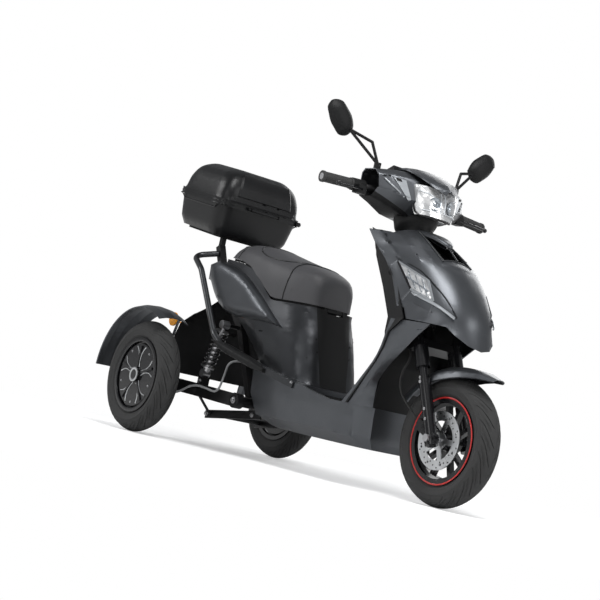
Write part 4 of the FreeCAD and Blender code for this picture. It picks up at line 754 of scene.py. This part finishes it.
@dataclass
class FrontWheel(Group):
    """The front rim's red lip and the drilled disc."""

    centre: Vector
    hole_count: int = 30
    hole_circles: tuple[float, ...] = (0.0695, 0.0770, 0.0845)
    hole_radius: float = 0.0026

    def build(self) -> None:
        """Makes the pieces of the front wheel."""
        lips = []
        for side in (-1, 1):
            lips.append(lathe([(0.1328, side * 0.0345), (0.1332, side * 0.0362), (0.1346, side * 0.0368),
                               (0.1366, side * 0.0366), (0.1378, side * 0.0358), (0.1378, side * 0.0345)],
                               self.centre, 128, True))
        self.shop.add("rim_lip_stripe", join(lips), STRIPE, "front_rim")
        inside = lathe([(0.1226, -0.0346), (0.1222, -0.0352), (0.1180, -0.0352), (0.1180, -0.0346)],
                       self.centre, 128, True)
        self.shop.add("rim_inner_edge", inside, GLOSS, "front_rim")
        holes = []
        for index in range(self.hole_count):
            angle = math.tau * (index + 0.3) / self.hole_count
            radius = self.hole_circles[index % len(self.hole_circles)]
            place = self.centre + Vector((math.cos(angle) * radius, -0.0441, math.sin(angle) * radius))
            holes.append(bead([place, place - Vector((0, 0.00025, 0))], self.hole_radius, 12))
        self.shop.add("disc_drillings", join(holes), BLACK, "brake_disc")


@dataclass
class RearHub(Group):
    """The silver ring and the pairs of silver lines on a rear hub's cover."""

    side: str
    centre: Vector
    face: float = 0.0300
    spoke_count: int = 5
    screw_count: int = 10

    def build(self) -> None:
        """Makes the hub's trim."""
        node = "rear_hub_" + self.side
        way = 1 if self.side == "left" else -1
        lines = []
        for spoke in range(self.spoke_count):
            base = math.radians(90 + 360 / self.spoke_count * spoke)
            for lean in (-1, 1):
                points = []
                for radius, spread in ((0.031, 0.30), (0.048, 0.13), (0.070, 0.11), (0.090, 0.17),
                                       (0.1085, 0.28)):
                    angle = base + lean * spread
                    points.append(self.centre
                                  + Vector((math.cos(angle) * radius, way * (self.face + 0.0006),
                                            math.sin(angle) * radius)))
                lines.append(bead(curve_points(points), 0.0021, 8, 0.55, Vector((0, 1, 0))))
        self.shop.add(f"hub_lines_{self.side}", join(lines), STEEL, node)
        ring = lathe([(0.0268, way * 0.0395), (0.0268, way * 0.0425), (0.0225, way * 0.0432),
                      (0.0180, way * 0.0422)], self.centre, 64)
        self.shop.add(f"hub_ring_{self.side}", ring, STEEL, node)
        screws = []
        for index in range(self.screw_count):
            angle = math.radians(360 / self.screw_count * index + 18)
            place = self.centre + Vector((math.cos(angle) * 0.101, way * (self.face - 0.0002),
                                          math.sin(angle) * 0.101))
            screws.append(bolt(place, Vector((0, way, 0)), 0.0042, 0.0028))
        self.shop.add(f"hub_screws_{self.side}", join(screws), ZINC, node)
        edge = lathe([(0.1225, way * 0.0345), (0.1232, way * 0.0358), (0.1262, way * 0.0362),
                      (0.1368, way * 0.0356), (0.1376, way * 0.0345)], self.centre, 128, True)
        self.shop.add(f"hub_edge_{self.side}", edge, GLOSS, node)


SOFT_SKINS: dict[str, tuple[Finish, float, int, float]] = {
    "front_apron": (PANEL, 0.011, 22, 42.0),
    "leg_panels": (PANEL, 0.011, 20, 42.0),
    "belly": (PANEL, 0.012, 20, 38.0),
    "side_blades": (PANEL, 0.010, 16, 60.0),
    "front_fender": (PANEL, 0.010, 14, 50.0),
    "bar_cover": (PANEL, 0.010, 10, 50.0),
    "visor": (PANEL, 0.010, 12, 50.0),
    "seat_body": (BLACK, 0.012, 22, 42.0),
    "knee_shield": (BLACK, 0.012, 20, 45.0),
    "splash_guard": (BLACK, 0.013, 16, 50.0),
    "box_base": (BOX_BLACK, 0.010, 14, 42.0),
    "box_lid": (BOX_BLACK, 0.010, 16, 42.0),
    "footrests": (BLACK, 0.008, 10, 60.0),
    "mirror_heads": (BLACK, 0.006, 26, 100.0),
}


TWO_TONES: dict[str, tuple[Point, Point, list[Finish]]] = {
    "bar_cover": ((0.0, 0.074, 0.905), (0.0, -0.42, 1.0), [PANEL, BLACK]),
    # The seat body's gunmetal sides take the darker copy, a painted shade; its front is black.
    "seat_body": ((0.013, 0.100, 0.565), (-0.93, 1.0, -0.365), [SHADE, BLACK]),
}
COWL_LOW = 0.745
COWL_HALF_WIDTH = 0.075
COWL_REAR = 0.36


def under_cowl(place: Vector) -> bool:
    """Tells whether a place on the apron's skin lies hidden under the cowl."""
    return COWL_LOW < place.z and abs(place.y) < COWL_HALF_WIDTH and place.x > COWL_REAR


def dress_skins(shop: Workshop) -> None:
    """Puts a rounder skin in the place of each moulded panel.

    Args:
        shop: the workshop that places them.
    """
    for node, (finish, cell, passes, keep) in SOFT_SKINS.items():
        mesh = soften(shop.nodes[node], cell, passes, keep)
        LOG.info("%s %d points", node, len(mesh.verts))
        look = finish
        if node in TWO_TONES:
            point, way, look = TWO_TONES[node]
            two_tone(mesh, Vector(point), Vector(way))
        elif node == "front_apron":
            hidden = [face for face in mesh.faces if under_cowl(face.calc_center_median())]
            bmesh.ops.delete(mesh, geom=hidden, context="FACES")
        shop.add(node + "_skin", mesh, look, node, (node,), keep * 0.8)


def mm(*rows: Point) -> list[Vector]:
    """Returns points given in millimetres as points in metres.

    Args:
        rows: the points.
    """
    return [Vector(row) / 1000 for row in rows]


def flipped(points: list[Vector]) -> list[Vector]:
    """Returns the points' mirror images across the vehicle's middle.

    Args:
        points: the points on one side.
    """
    return [Vector((point.x, -point.y, point.z)) for point in points]


def patch(tree: BVHTree, rows: list[list[Vector]], way: Vector, lift: float, sink: float = 0.001) -> BMesh:
    """A moulded patch that follows the surface under it.

    Args:
        tree: the surface's search tree.
        rows: a grid of points near the surface.
        way: the direction in which the points are cast onto it.
        lift: how far the patch stands above the surface.
        sink: how far its rim goes into the surface.

    Returns:
        The patch's mesh.
    """
    mesh = bmesh.new()
    grid = []
    last_row, last_column = len(rows) - 1, len(rows[0]) - 1
    for row, points in enumerate(rows):
        line = []
        for column, point in enumerate(points):
            hit, normal, _, _ = tree.ray_cast(point - way * 0.25, way)
            if hit is None:
                hit, normal, _, _ = tree.find_nearest(point)
            normal = normal if normal.dot(way) < 0 else -normal
            rim = row in (0, last_row) or column in (0, last_column)
            line.append(mesh.verts.new(hit + normal * (-sink if rim else lift)))
        grid.append(line)
    skin(mesh, grid)
    bmesh.ops.recalc_face_normals(mesh, faces=mesh.faces)
    return mesh


def rim_shares(count: int) -> list[float]:
    """Returns places from 0 to 1 that lie closer together at both ends."""
    inner = [0.06 + 0.88 * index / (count - 5) for index in range(count - 4)]
    return [0.0, 0.03] + inner + [0.97, 1.0]


def quad_grid(corners: list[Vector], rows: int, columns: int) -> list[list[Vector]]:
    """Returns a grid of points over a four-sided outline, with a narrow rim.

    Args:
        corners: its four corners, in order.
        rows: how many rows there are.
        columns: how many columns there are.
    """
    first, second, third, fourth = corners
    return [[(first.lerp(second, u)).lerp(fourth.lerp(third, u), v) for u in rim_shares(columns)]
            for v in rim_shares(rows)]


def bowed(corners: list[Vector], way: Vector, lift: float, bulge: float, sink: float = 0.004) -> BMesh:
    """A bowed sheet between four corners, with its rim turned in.

    Args:
        corners: its corners, in order.
        way: where its front faces.
        lift: how far its rim stands off the corners.
        bulge: how much further its middle stands off.
        sink: how far its rim goes behind the corners.

    Returns:
        The sheet's mesh.
    """
    mesh = bmesh.new()
    count = 24
    grid = []
    for row in range(count + 1):
        v = row / count
        line = []
        for column in range(count + 1):
            u = column / count
            place = corners[0].lerp(corners[1], u).lerp(corners[3].lerp(corners[2], u), v)
            edge = row in (0, count) or column in (0, count)
            line.append(mesh.verts.new(place
                                       + way * (-sink if edge else lift
                                                + bulge * 16 * u * (1 - u) * v * (1 - v))))
        grid.append(line)
    skin(mesh, grid)
    bmesh.ops.recalc_face_normals(mesh, faces=mesh.faces)
    return mesh


def on_surface(tree: BVHTree, points: list[Vector], lift: float) -> list[Vector]:
    """Returns the nearest places on a surface, lifted off it.

    Args:
        tree: the surface's search tree.
        points: points near the surface.
        lift: how far the results stand off it.
    """
    result = []
    for point in points:
        hit, normal, _, _ = tree.find_nearest(point)
        result.append(hit + normal * lift)
    return result


def two_tone(mesh: BMesh, point: Vector, way: Vector) -> None:
    """Cuts a mesh along a plane on each side and gives the rest its second finish.

    Args:
        mesh: the mesh, whose faces behind the planes take material 1.
        point: a place on the plane of the left side.
        way: the direction of that plane's front.
    """
    for side in (-1, 1):
        place = Vector((point.x, point.y * side, point.z))
        front = Vector((way.x, way.y * side, way.z)).normalized()
        faces = [face for face in mesh.faces if face.calc_center_median().y * side >= 0]
        edges = list({edge for face in faces for edge in face.edges})
        parts = faces + edges + list({vert for face in faces for vert in face.verts})
        bmesh.ops.bisect_plane(mesh, geom=parts, plane_co=place, plane_no=front)
    mesh.normal_update()
    for face in mesh.faces:
        middle = face.calc_center_median()
        side = 1 if middle.y >= 0 else -1
        front = Vector((way.x, way.y * side, way.z))
        place = Vector((point.x, point.y * side, point.z))
        face.material_index = int((middle - place).dot(front) < 0)


@dataclass
class Lamps(Group):
    """The headlamp's bezel and bulbs, the side lamps and their light strips."""

    side_corners: tuple[Point, ...] = (
        (466.0, 159.0, 733.5), (590.4, 125.0, 686.0), (631.4, 123.5, 621.6), (546.0, 151.5, 649.4))
    strip: tuple[Point, ...] = ((551.5, 150.5, 641.0), (596.6, 138.3, 626.0), (636.8, 122.5, 614.0),
                                (670.3, 103.7, 597.6), (696.7, 83.3, 581.0))
    crease: tuple[Point, ...] = ((452.0, 161.0, 747.0), (467.0, 158.6, 741.0), (548.0, 132.8, 715.5),
                                 (609.0, 117.0, 678.0), (660.0, 96.0, 635.0), (699.5, 76.0, 585.0))
    left_filler: tuple[Point, ...] = (
        (434.0, 163.0, 723.0), (462.0, 160.0, 738.0), (548.0, 151.5, 649.0), (502.0, 158.5, 592.0))
    low_filler: tuple[Point, ...] = (
        (502.0, 158.5, 592.0), (546.0, 151.5, 650.0), (636.0, 123.0, 622.0), (632.0, 129.5, 575.0))

    def build(self) -> None:
        """Makes the lamps."""
        self._side()
        self._head()

    def _side(self) -> None:
        """Makes the diamond side lamps and the strips under them."""
        tree = self.shop.tree("front_apron")
        corners = mm(*self.side_corners)
        inward = Vector((-0.35, -1.0, -0.1)).normalized()
        self.shop.add("side_lamp_lenses", mirror_copy(bowed(corners, -inward, 0.0016, 0.0050)), CHROME,
                      "side_lamps", ("side_lamps",), 25.0)
        fillers = [bowed(mm(*outline), -inward, 0.0010, 0.0030, 0.0005)
                   for outline in (self.left_filler, self.low_filler)]
        self.shop.add("lamp_fillers", mirror_copy(join(fillers)), PANEL, "front_apron", (), 14.0)
        rims = []
        for start, end, radius in ((0, 1, 0.0030), (1, 2, 0.0042), (2, 3, 0.0040), (3, 0, 0.0036)):
            line = [corners[start].lerp(corners[end], index / 12) - inward * 0.0030 for index in range(13)]
            rims.append(bead(line, radius, 8, 0.6, inward))
        self.shop.add("side_lamp_rims", mirror_copy(join([rims[3]])), GLOSS, "side_lamps")
        light = [bead(on_surface(tree, curve_points(mm(*self.strip), 5), 0.0030), 0.0046, 10, 0.6, inward)]
        self.shop.add("side_lamp_strips", mirror_copy(join(rims[0:3] + light)), SILVER, "side_lamps")
        # A thin strand in the darker gunmetal along the crease above each lamp: painted shade in the
        # crease.
        line = on_surface(tree, curve_points(mm(*self.crease), 5), 0.0002)
        self.shop.add("apron_crease_shade", mirror_copy(bead(line, 0.0022, 6, 0.7, inward)), SHADE,
                      "front_apron")
        bars = []
        for share in (0.30, 0.55, 0.78):
            top, low = corners[0].lerp(corners[1], share), corners[3].lerp(corners[2], share)
            run = [top.lerp(low, step / 8) - inward * 0.0062 for step in range(1, 8)]
            bars.append(bead(run, 0.0014, 6, 1.0, inward))
        near, far = corners[0].lerp(corners[3], 0.5), corners[1].lerp(corners[2], 0.62)
        run = [near.lerp(far, step / 10) - inward * 0.0064 for step in range(1, 10)]
        bars.append(bead(run, 0.0026, 6, 1.0, inward))
        self.shop.add("side_lamp_bars", mirror_copy(join(bars)), BULB, "side_lamps")

    def _head(self) -> None:
        """Makes the headlamp's bezel, bowls and light bars."""
        lens = soften(self.shop.nodes["headlamp"], 0.009, 8, 60.0)
        self.shop.add("headlamp_lens", lens, CHROME, "headlamp", ("headlamp",), 40.0)
        tree = self.shop.tree("headlamp")
        forward = Vector((1, 0, 0))
        trims = []
        for side in (-1, 1):
            edge = mm((370, 94 * side, 1001), (378, 94 * side, 975), (386, 93 * side, 945),
                      (394, 91 * side, 911))
            trims.append(bead(on_surface(tree, curve_points(edge), 0.0012), 0.0042, 8, 0.7, forward))
        low = mm((394, -91, 910), (414, -60, 909), (424, 0, 909), (414, 60, 909), (394, 91, 910))
        trims.append(bead(on_surface(tree, curve_points(low), 0.0010), 0.0040, 8, 0.7, forward))
        self.shop.add("headlamp_bezel", join(trims), GLOSS, "headlamp")
        cover = self.shop.tree("bar_cover")
        inward = Vector((-0.7, 0.7, -0.1)).normalized()
        outline = mm((343, -156, 1014), (369, -115, 1009), (390, -94, 946), (385, -100, 942))
        wedge = patch(cover, quad_grid(outline, 22, 10), inward, 0.0022)
        self.shop.add("bar_wedges", mirror_copy(wedge), SILVER, "bar_cover", (), 40.0, "panel_paint")
        outline = mm((350, -146, 1010), (360, -131, 1008), (365, -127, 999), (355, -142, 1001))
        slot = patch(cover, quad_grid(outline, 7, 9), inward, 0.0040)
        self.shop.add("bar_slots", mirror_copy(slot), BLACK, "bar_cover", (), 40.0, "black_plastic")
        route = mm((304, -187, 1021), (331, -174, 1001), (359, -148, 976), (378, -118, 953))
        line = on_surface(cover, curve_points(route), 0.0026)
        self.shop.add("bar_lines", mirror_copy(bead(line, 0.0026, 8, 0.6, inward)), SILVER, "bar_cover",
                      (), 40.0, "panel_paint")
        bowls = []
        for side in (-1, 1):
            place = on_surface(tree, mm((440, 34 * side, 950)), 0.0)[0]
            bowl = lathe([(0.021, 0.0), (0.0225, 0.0018), (0.0195, 0.0022), (0.0150, -0.0006),
                          (0.0110, -0.0012), (0.0080, 0.0014), (0.0001, 0.0042)], Vector(), 40)
            bowl.transform(aimed(place, Vector((0.98, 0.35 * side, 0.10))))
            bowls.append(bowl)
        self.shop.add("headlamp_bowls", join(bowls), BULB, "headlamp")
        ribs = []
        for side in (-1, 1):
            for start, end in (((404, 84, 985), (441, 30, 972)), ((420, 74, 925), (441, 16, 927)),
                               ((441, 10, 995), (446, 8, 925))):
                line = mm(*[(x, y * side, z) for x, y, z in (start, end)])
                run = [line[0].lerp(line[1], step / 8) for step in range(9)]
                ribs.append(bead(on_surface(tree, run, 0.0006), 0.0018, 6, 0.8, forward))
        self.shop.add("headlamp_ribs", join(ribs), PEARL, "headlamp")


@dataclass
class Neck(Group):
    """The black skirt round the steering column and the scoop's hood in front of it."""

    foot: Vector = field(default_factory=lambda: Vector((0.664440, 0.0, 0.190095)))
    axis: Vector = field(default_factory=lambda: Vector((-0.43837, 0.0, 0.89879)))
    cowl_rows: int = 52
    cowl_columns: int = 33
    cowl_half_width: float = 0.132
    hood_rows: tuple[tuple[float, float], ...] = (
        (0.0, 0.0), (0.12, 0.004), (0.28, 0.009), (0.46, 0.014), (0.64, 0.018), (0.80, 0.020),
        (0.92, 0.0205), (1.0, 0.0185), (1.005, 0.0145), (0.97, 0.0135))

    def build(self) -> None:
        """Makes the skirt and the hood."""
        profile = [(0.036, 0.668), (0.0510, 0.668), (0.0518, 0.674), (0.0518, 0.738), (0.0560, 0.746),
                   (0.0660, 0.758), (0.0715, 0.766), (0.0725, 0.772), (0.0725, 0.800), (0.0700, 0.803),
                   (0.0700, 0.812), (0.0400, 0.812)]
        skirt = lathe(profile, Vector(), 72, True)
        skirt.transform(aimed(self.foot, self.axis, "X"))
        self.shop.add("neck_skirt", skirt, BLACK, "neck_collar", ("neck_collar",))
        self._cowl()
        self._floor()
        self._hood()
        self._edges()

    def _ends(self, y: float) -> tuple[float, float]:
        """Returns how far forward the deck's front and rear edges lie, this far from the middle."""
        return 0.606 - 3.8 * y ** 2, 0.402 - 2.2 * y ** 2

    def _half(self, x: float) -> float:
        """Returns half the width of the scoop's opening, this far forward."""
        return 0.050 + 0.010 * (x - 0.423) / 0.145

    def _lip(self, y: float) -> float:
        """Returns how far forward the hood's lip lies, this far from the middle."""
        return 0.508 - 34.0 * y ** 2

    def _is_open(self, place: Vector) -> bool:
        """Tells whether a place on the cowl lies in the scoop's opening."""
        is_ahead = max(self._lip(place.y) - 0.012, 0.424) < place.x < 0.560
        return is_ahead and abs(place.y) < self._half(place.x)

    def deck(self, x: float, y: float, lift: float = 0.0) -> Vector:
        """Returns a place on the smooth upper front of the apron.

        Args:
            x: how far forward it is.
            y: how far left it is.
            lift: how far it stands above the surface.
        """
        front, rear = self._ends(y)
        share = (front - x) / (front - rear)
        height = 0.7405 + (0.1205 - 1.6 * y ** 2) * share + 0.016 * share * (1 - share)
        return Vector((x, y, height)) + Vector((0.5, 0.0, 0.85)) * lift

    def _sheet(self, rows: list[list[Vector]], thickness: float, has_opening: bool = False) -> BMesh:
        """Returns a thin sheet through rows of points.

        Args:
            rows: the points, row by row.
            thickness: how thick the sheet is.
            has_opening: whether the scoop's opening is left out of it.
        """
        mesh = bmesh.new()
        grid = [[mesh.verts.new(point) for point in row] for row in rows]
        skin(mesh, grid)
        if has_opening:
            opened = [face for face in mesh.faces
                      if self._is_open(sum((vert.co for vert in face.verts), Vector()) / 4)]
            bmesh.ops.delete(mesh, geom=opened, context="FACES")
        bmesh.ops.recalc_face_normals(mesh, faces=mesh.faces)
        bmesh.ops.solidify(mesh, geom=mesh.faces[:], thickness=thickness)
        return mesh

    def _cowl(self) -> None:
        """Makes the cowl round the neck."""
        rows = []
        for step in range(self.cowl_rows + 1):
            share = step / self.cowl_rows
            row = []
            for across in range(-self.cowl_columns, self.cowl_columns + 1):
                y = self.cowl_half_width * across / self.cowl_columns
                front, rear = self._ends(y)
                dip = 0.0100 * (abs(across) / self.cowl_columns) ** 6
                rim = 0.0020 - dip - 0.004 * (1 - min(1.0, share * 14))
                row.append(self.deck(front + (rear - front) * share, y, rim))
            rows.append(row)
        self.shop.add("apron_cowl", self._sheet(rows, 0.0025, True), PANEL, "front_apron", (), 60.0)

    def _floor(self) -> None:
        """Makes the sunken floor of the scoop, in a near-black finish that paints the shade under the hood.
        """
        rows = []
        for step in range(19):
            x = 0.424 + 0.140 * step / 18
            depth = -0.030 * min(1.0, (18 - step) / 3, (step + 1) / 3)
            row = []
            for across in range(-20, 21):
                sunk = depth if abs(across) < 19 else -0.002
                row.append(self.deck(x, self._half(x) * 1.04 * across / 20, sunk))
            rows.append(row)
        # The floor is black plastic; its darker finish is painted shade under the hood.
        self.shop.add("scoop_floor", self._sheet(rows, 0.0012), SCOOP_SHADE, "front_apron", (), 60.0,
                      "black_plastic")

    def _hood(self) -> None:
        """Makes the hood over the scoop, down to its turned-in lip."""
        rows = []
        for share, rise in self.hood_rows:
            row = []
            for across in range(-24, 25):
                y = 0.0505 * across / 24
                crown = 1 - (across / 24) ** 4
                start = 0.4025 - 2.2 * y ** 2
                row.append(self.deck(start + (self._lip(y) - start) * share, y, 0.0022 + rise * crown))
            rows.append(row)
        self.shop.add("scoop_hood", self._sheet(rows, -0.0015), PANEL, "front_apron", (), 70.0)

    def _edges(self) -> None:
        """Makes the scoop's edges and the rib between its two nostrils."""
        edges = []
        for side in (-1, 1):
            line = []
            for step in range(17):
                x = 0.412 + 0.154 * step / 16
                line.append(self.deck(x, side * (self._half(x) + 0.001), 0.0040))
            edges.append(bead(line, 0.0028, 8))
        front = [self.deck(0.562, self._half(0.562) * across / 12, 0.0030) for across in range(-12, 13)]
        edges.append(bead(front, 0.0020, 8))
        rib = [self.deck(0.500 + 0.062 * step / 8, 0.0, 0.0120 - 0.0080 * step / 8) for step in range(9)]
        edges.append(bead(rib, 0.0036, 8))
        self.shop.add("scoop_edges", join(edges), RAIL, "front_apron", (), 60.0, "panel_paint")


@dataclass
class Trims(Group):
    """Seams, piping, creases, bolts and small hardware."""

    tab_size: Point = (0.026, 0.022, 0.017)
    tab_tilt_deg: float = 8.5
    spring_turns: int = 7
    spring_steps: int = 20
    coil_radius: float = 0.0218
    wire_radius: float = 0.0038
    ring_count: int = 15
    ring_pitch: float = 0.0064

    def build(self) -> None:
        """Makes the trims."""
        self._seat()
        self._box()
        self._bolts()
        self._springs()
        self._grips()

    def _seat(self) -> None:
        """Makes the rounder cushion with its piping."""
        mesh = soften(self.shop.nodes["seat_cushion"], 0.009, 46, 62.0)
        cushion = self.shop.add("seat_cushion_foam", mesh, VINYL, "seat_cushion", ("seat_cushion",), 50.0)
        finished = bmesh.new()
        finished.from_mesh(cushion.data)
        tree = BVHTree.FromBMesh(finished)
        finished.free()
        lines = []
        front = [(-132, 0, 725), (-134, 60, 722), (-132, 105, 708), (-126, 138, 680), (-128, 150, 640),
                 (-136, 148, 600), (-140, 142, 570)]
        back = [(-462, 0, 775), (-466, 50, 773), (-470, 92, 762), (-476, 118, 738), (-486, 124, 705)]
        rim = [(-402, 0, 778), (-400, 52, 774), (-384, 92, 758), (-352, 112, 738), (-300, 122, 722),
               (-236, 122, 712), (-190, 110, 712), (-160, 78, 716), (-150, 40, 719), (-148, 0, 720)]
        for row in (front, back, rim):
            half = mm(*row)
            whole = flipped(half[:0:-1]) + half
            path = curve_points(whole, 6)
            lines.append(bead(on_surface(tree, path, 0.0004), 0.0021, 8))
        self.shop.add("seat_piping", join(lines), PIPING, "seat_cushion")

    def _box(self) -> None:
        """Makes the box's raised front panel, flange, crease and tabs."""
        lid, base = self.shop.tree("box_lid"), self.shop.tree("box_base")
        corners = mm((-566, 128, 935), (-566, -128, 935), (-600, -112, 1020), (-600, 112, 1020))
        panel = patch(lid, quad_grid(corners, 14, 30), Vector((-1, 0, -0.15)).normalized(), 0.0042)
        self.shop.add("lid_front_panel", panel, BOX_BLACK, "box_lid", (), 25.0)
        low = mm((-566, 150, 908), (-566, -150, 908), (-568, -150, 929), (-568, 150, 929))
        flange = patch(lid, quad_grid(low, 8, 40), Vector((-1, 0, 0)), 0.0034)
        self.shop.add("lid_flange", flange, BOX_BLACK, "box_lid", (), 25.0)
        shares = [index / 24 for index in range(25)]
        crease = [Vector((-0.56 - 0.36 * share, -0.20, 0.868 + 0.053 * share)) for share in shares]
        loop = on_surface(base, crease, 0.0006)
        strands = [bead(loop, 0.0022, 6), bead(flipped(loop), 0.0022, 6)]
        self.shop.add("box_crease", join(strands), BOX_BLACK, "box_base")
        tabs = []
        for place in mm((-574, -172, 899), (-574, 172, 899), (-882, -150, 947), (-882, 150, 947)):
            tab = bmesh.new()
            tilt = Matrix.Rotation(math.radians(self.tab_tilt_deg), 4, "Y")
            shape = Matrix.Translation(place) @ tilt @ Matrix.Diagonal((*self.tab_size, 1.0))
            bmesh.ops.create_cube(tab, size=1.0, matrix=shape)
            bmesh.ops.bevel(tab, geom=tab.edges[:], offset=0.004, segments=3, affect="EDGES")
            tabs.append(tab)
        self.shop.add("box_tabs", join(tabs), BOX_BLACK, "box_base")

    def _bolts(self) -> None:
        """Makes the visible bolts."""
        groups = {
            "fork_legs": [((598, 93.5, 384), 5.5), ((610, 93.5, 372), 5.5), ((668, 92.5, 262), 5.0),
                          ((655, 92.5, 292), 5.0)],
            "side_rails": [((60, 170, 290), 6.5), ((36, 171, 296), 6.0)],
            "lower_bracket": [((-482, 116, 121), 11.0), ((-200, 116, 152), 9.0)],
            "swing_arm_right": [((-462, 188, 232), 9.0), ((-232, 184, 190), 12.0)],
            "seat_body": [((18, 74, 452), 5.0), ((20, 66, 405), 5.0), ((16, 92, 380), 5.0)],
        }
        for node, rows in groups.items():
            heads = []
            for (x, y, z), radius in rows:
                for side in ((-1,) if node == "swing_arm_right" else (-1, 1)):
                    way = Vector((0.3, side, 0)) if node == "seat_body" else Vector((0, side, 0))
                    place = Vector((x, y * side, z)) / 1000
                    if node in ("fork_legs", "seat_body", "lower_bracket"):
                        place = on_surface(self.shop.tree(node), [place], -0.0004)[0]
                    heads.append(bolt(place, way, radius / 1000, radius / 1600))
            self.shop.add(f"{node}_bolts", join(heads), BLACK if node == "seat_body" else ZINC, node,
                          slot="bolt_steel")
        left = [bolt(Vector((x, y, z)) / 1000, Vector((0, 1, 0)), radius / 1000, radius / 1600)
                for (x, y, z), radius in groups["swing_arm_right"]]
        self.shop.add("swing_arm_left_bolts", join(left), ZINC, "swing_arm_left", slot="bolt_steel")

    def _springs(self) -> None:
        """Makes the round-wire coils."""
        low, top = mm((-462, 172, 262), (-402, 172, 448))
        way = (top - low).normalized()
        length = (top - low).length
        side = way.cross(Vector((0, 1, 0))).normalized()
        start, end = length * 0.13 + 0.010, length * 0.87 - 0.010
        points = []
        steps = self.spring_turns * self.spring_steps
        for index in range(steps + 1):
            turn = math.tau * index / self.spring_steps
            centre = low + way * (start + (end - start) * index / steps)
            arm = side * math.cos(turn) + Vector((0, 1, 0)) * math.sin(turn)
            points.append(centre + arm * self.coil_radius)
        coil = bead(points, self.wire_radius, 10, 1.0, way)
        self.shop.add("spring_coils", mirror_copy(coil), GLOSS, "springs", ("springs",), 50.0)

    def _grips(self) -> None:
        """Makes the grips' rubber rings and end caps."""
        outer, knee = mm((244, 362, 958), (262, 138, 968))
        inward = (knee - outer).normalized()
        rings = []
        profile = [(0.0160, -0.0016), (0.0174, -0.0008), (0.0174, 0.0008), (0.0160, 0.0016)]
        for index in range(self.ring_count):
            ring = lathe(profile, Vector(), 32, True)
            ring.transform(aimed(outer + inward * (0.014 + self.ring_pitch * index), inward))
            rings.append(ring)
        self.shop.add("grip_rings", mirror_copy(join(rings)), GRIP, "grips")
        profile = [(0.0001, -0.0035), (0.0105, -0.0030), (0.0125, -0.0012), (0.0125, 0.004)]
        cap = lathe(profile, Vector(), 32)
        cap.transform(aimed(outer + inward * 0.0036, inward))
        self.shop.add("bar_end_caps", mirror_copy(cap), SILVER, "handlebar")


@dataclass
class Cord:
    """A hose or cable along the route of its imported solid."""

    name: str
    node: str
    route: tuple[Point, ...]
    radius: float
    length: float
    finish: Finish
    stiffness: str

    def build(self, shop: Workshop, sides: tuple[int, ...] = (1,)) -> None:
        """Makes the cord on each side that has one.

        Args:
            shop: the workshop that places it.
            sides: 1 for the route as it is, and -1 for its mirror image.
        """
        for side in sides:
            name = self.name if len(sides) == 1 else f"{self.name}_{'left' if side > 0 else 'right'}"
            curve = bpy.data.curves.new(name, "CURVE")
            curve.dimensions = "3D"
            curve.bevel_depth = self.radius
            curve.bevel_resolution = 4
            curve.resolution_u = 12
            curve.use_fill_caps = True
            spline = curve.splines.new("NURBS")
            spline.points.add(len(self.route) - 1)
            for point, (x, y, z) in zip(spline.points, self.route):
                point.co = (x / 1000, y * side / 1000, z / 1000, 1.0)
            spline.order_u = 3
            spline.use_endpoint_u = True
            piece = bpy.data.objects.new(name, curve)
            bpy.context.collection.objects.link(piece)
            shop.place(piece, self.finish, self.node, (self.node,))
            x, y, z = self.route[0]


MOTOR_ROUTE: tuple[Point, ...] = (
    (-331.0, 109.0, 330.0), (-331.0, 168.0, 330.0), (-296.0, 200.0, 262.0), (-312.0, 204.0, 200.0),
    (-378.0, 212.0, 212.0), (-446.0, 226.0, 214.0), (-494.0, 250.0, 172.0), (-545.0, 268.0, 168.0),
    (-578.0, 262.0, 190.0))
HOSE_ROUTE: tuple[Point, ...] = (
    (526.5, -84.0, 466.1), (540.0, -86.0, 438.5), (528.0, -102.0, 396.0), (532.0, -104.0, 346.0),
    (552.0, -86.0, 300.0), (590.0, -62.0, 262.0))
MOTOR_CABLE = Cord("motor_cord", "motor_cable", MOTOR_ROUTE, 0.004, 0.479, CABLE, "medium")
BRAKE_HOSE = Cord("brake_line", "brake_hose", HOSE_ROUTE, 0.0035, 0.237, HOSE, "medium")


def main() -> None:
    """Builds every part of the scene in order."""
    logging.basicConfig(level=logging.INFO, format="%(name)s %(message)s")
    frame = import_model()
    Studio().build()
    shop = Workshop(frame["nodes"], frame["record"])
    MOTOR_CABLE.build(shop, (1, -1))
    BRAKE_HOSE.build(shop)
    dress_nodes(frame["nodes"])
    dress_skins(shop)
    front = Vector((0.695, 0.0, 0.205))
    right = Vector((-0.620, -0.330, 0.205))
    left = Vector((-0.620, 0.330, 0.205))
    Tyre(shop, "front_tyre", front).build()
    Tyre(shop, "rear_tyre_right", right).build()
    Tyre(shop, "rear_tyre_left", left).build()
    FrontWheel(shop, front).build()
    RearHub(shop, "right", right).build()
    RearHub(shop, "left", left).build()
    Lamps(shop).build()
    Neck(shop).build()
    Trims(shop).build()
    LOG.info("done")


if __name__ == "__main__":
    main()
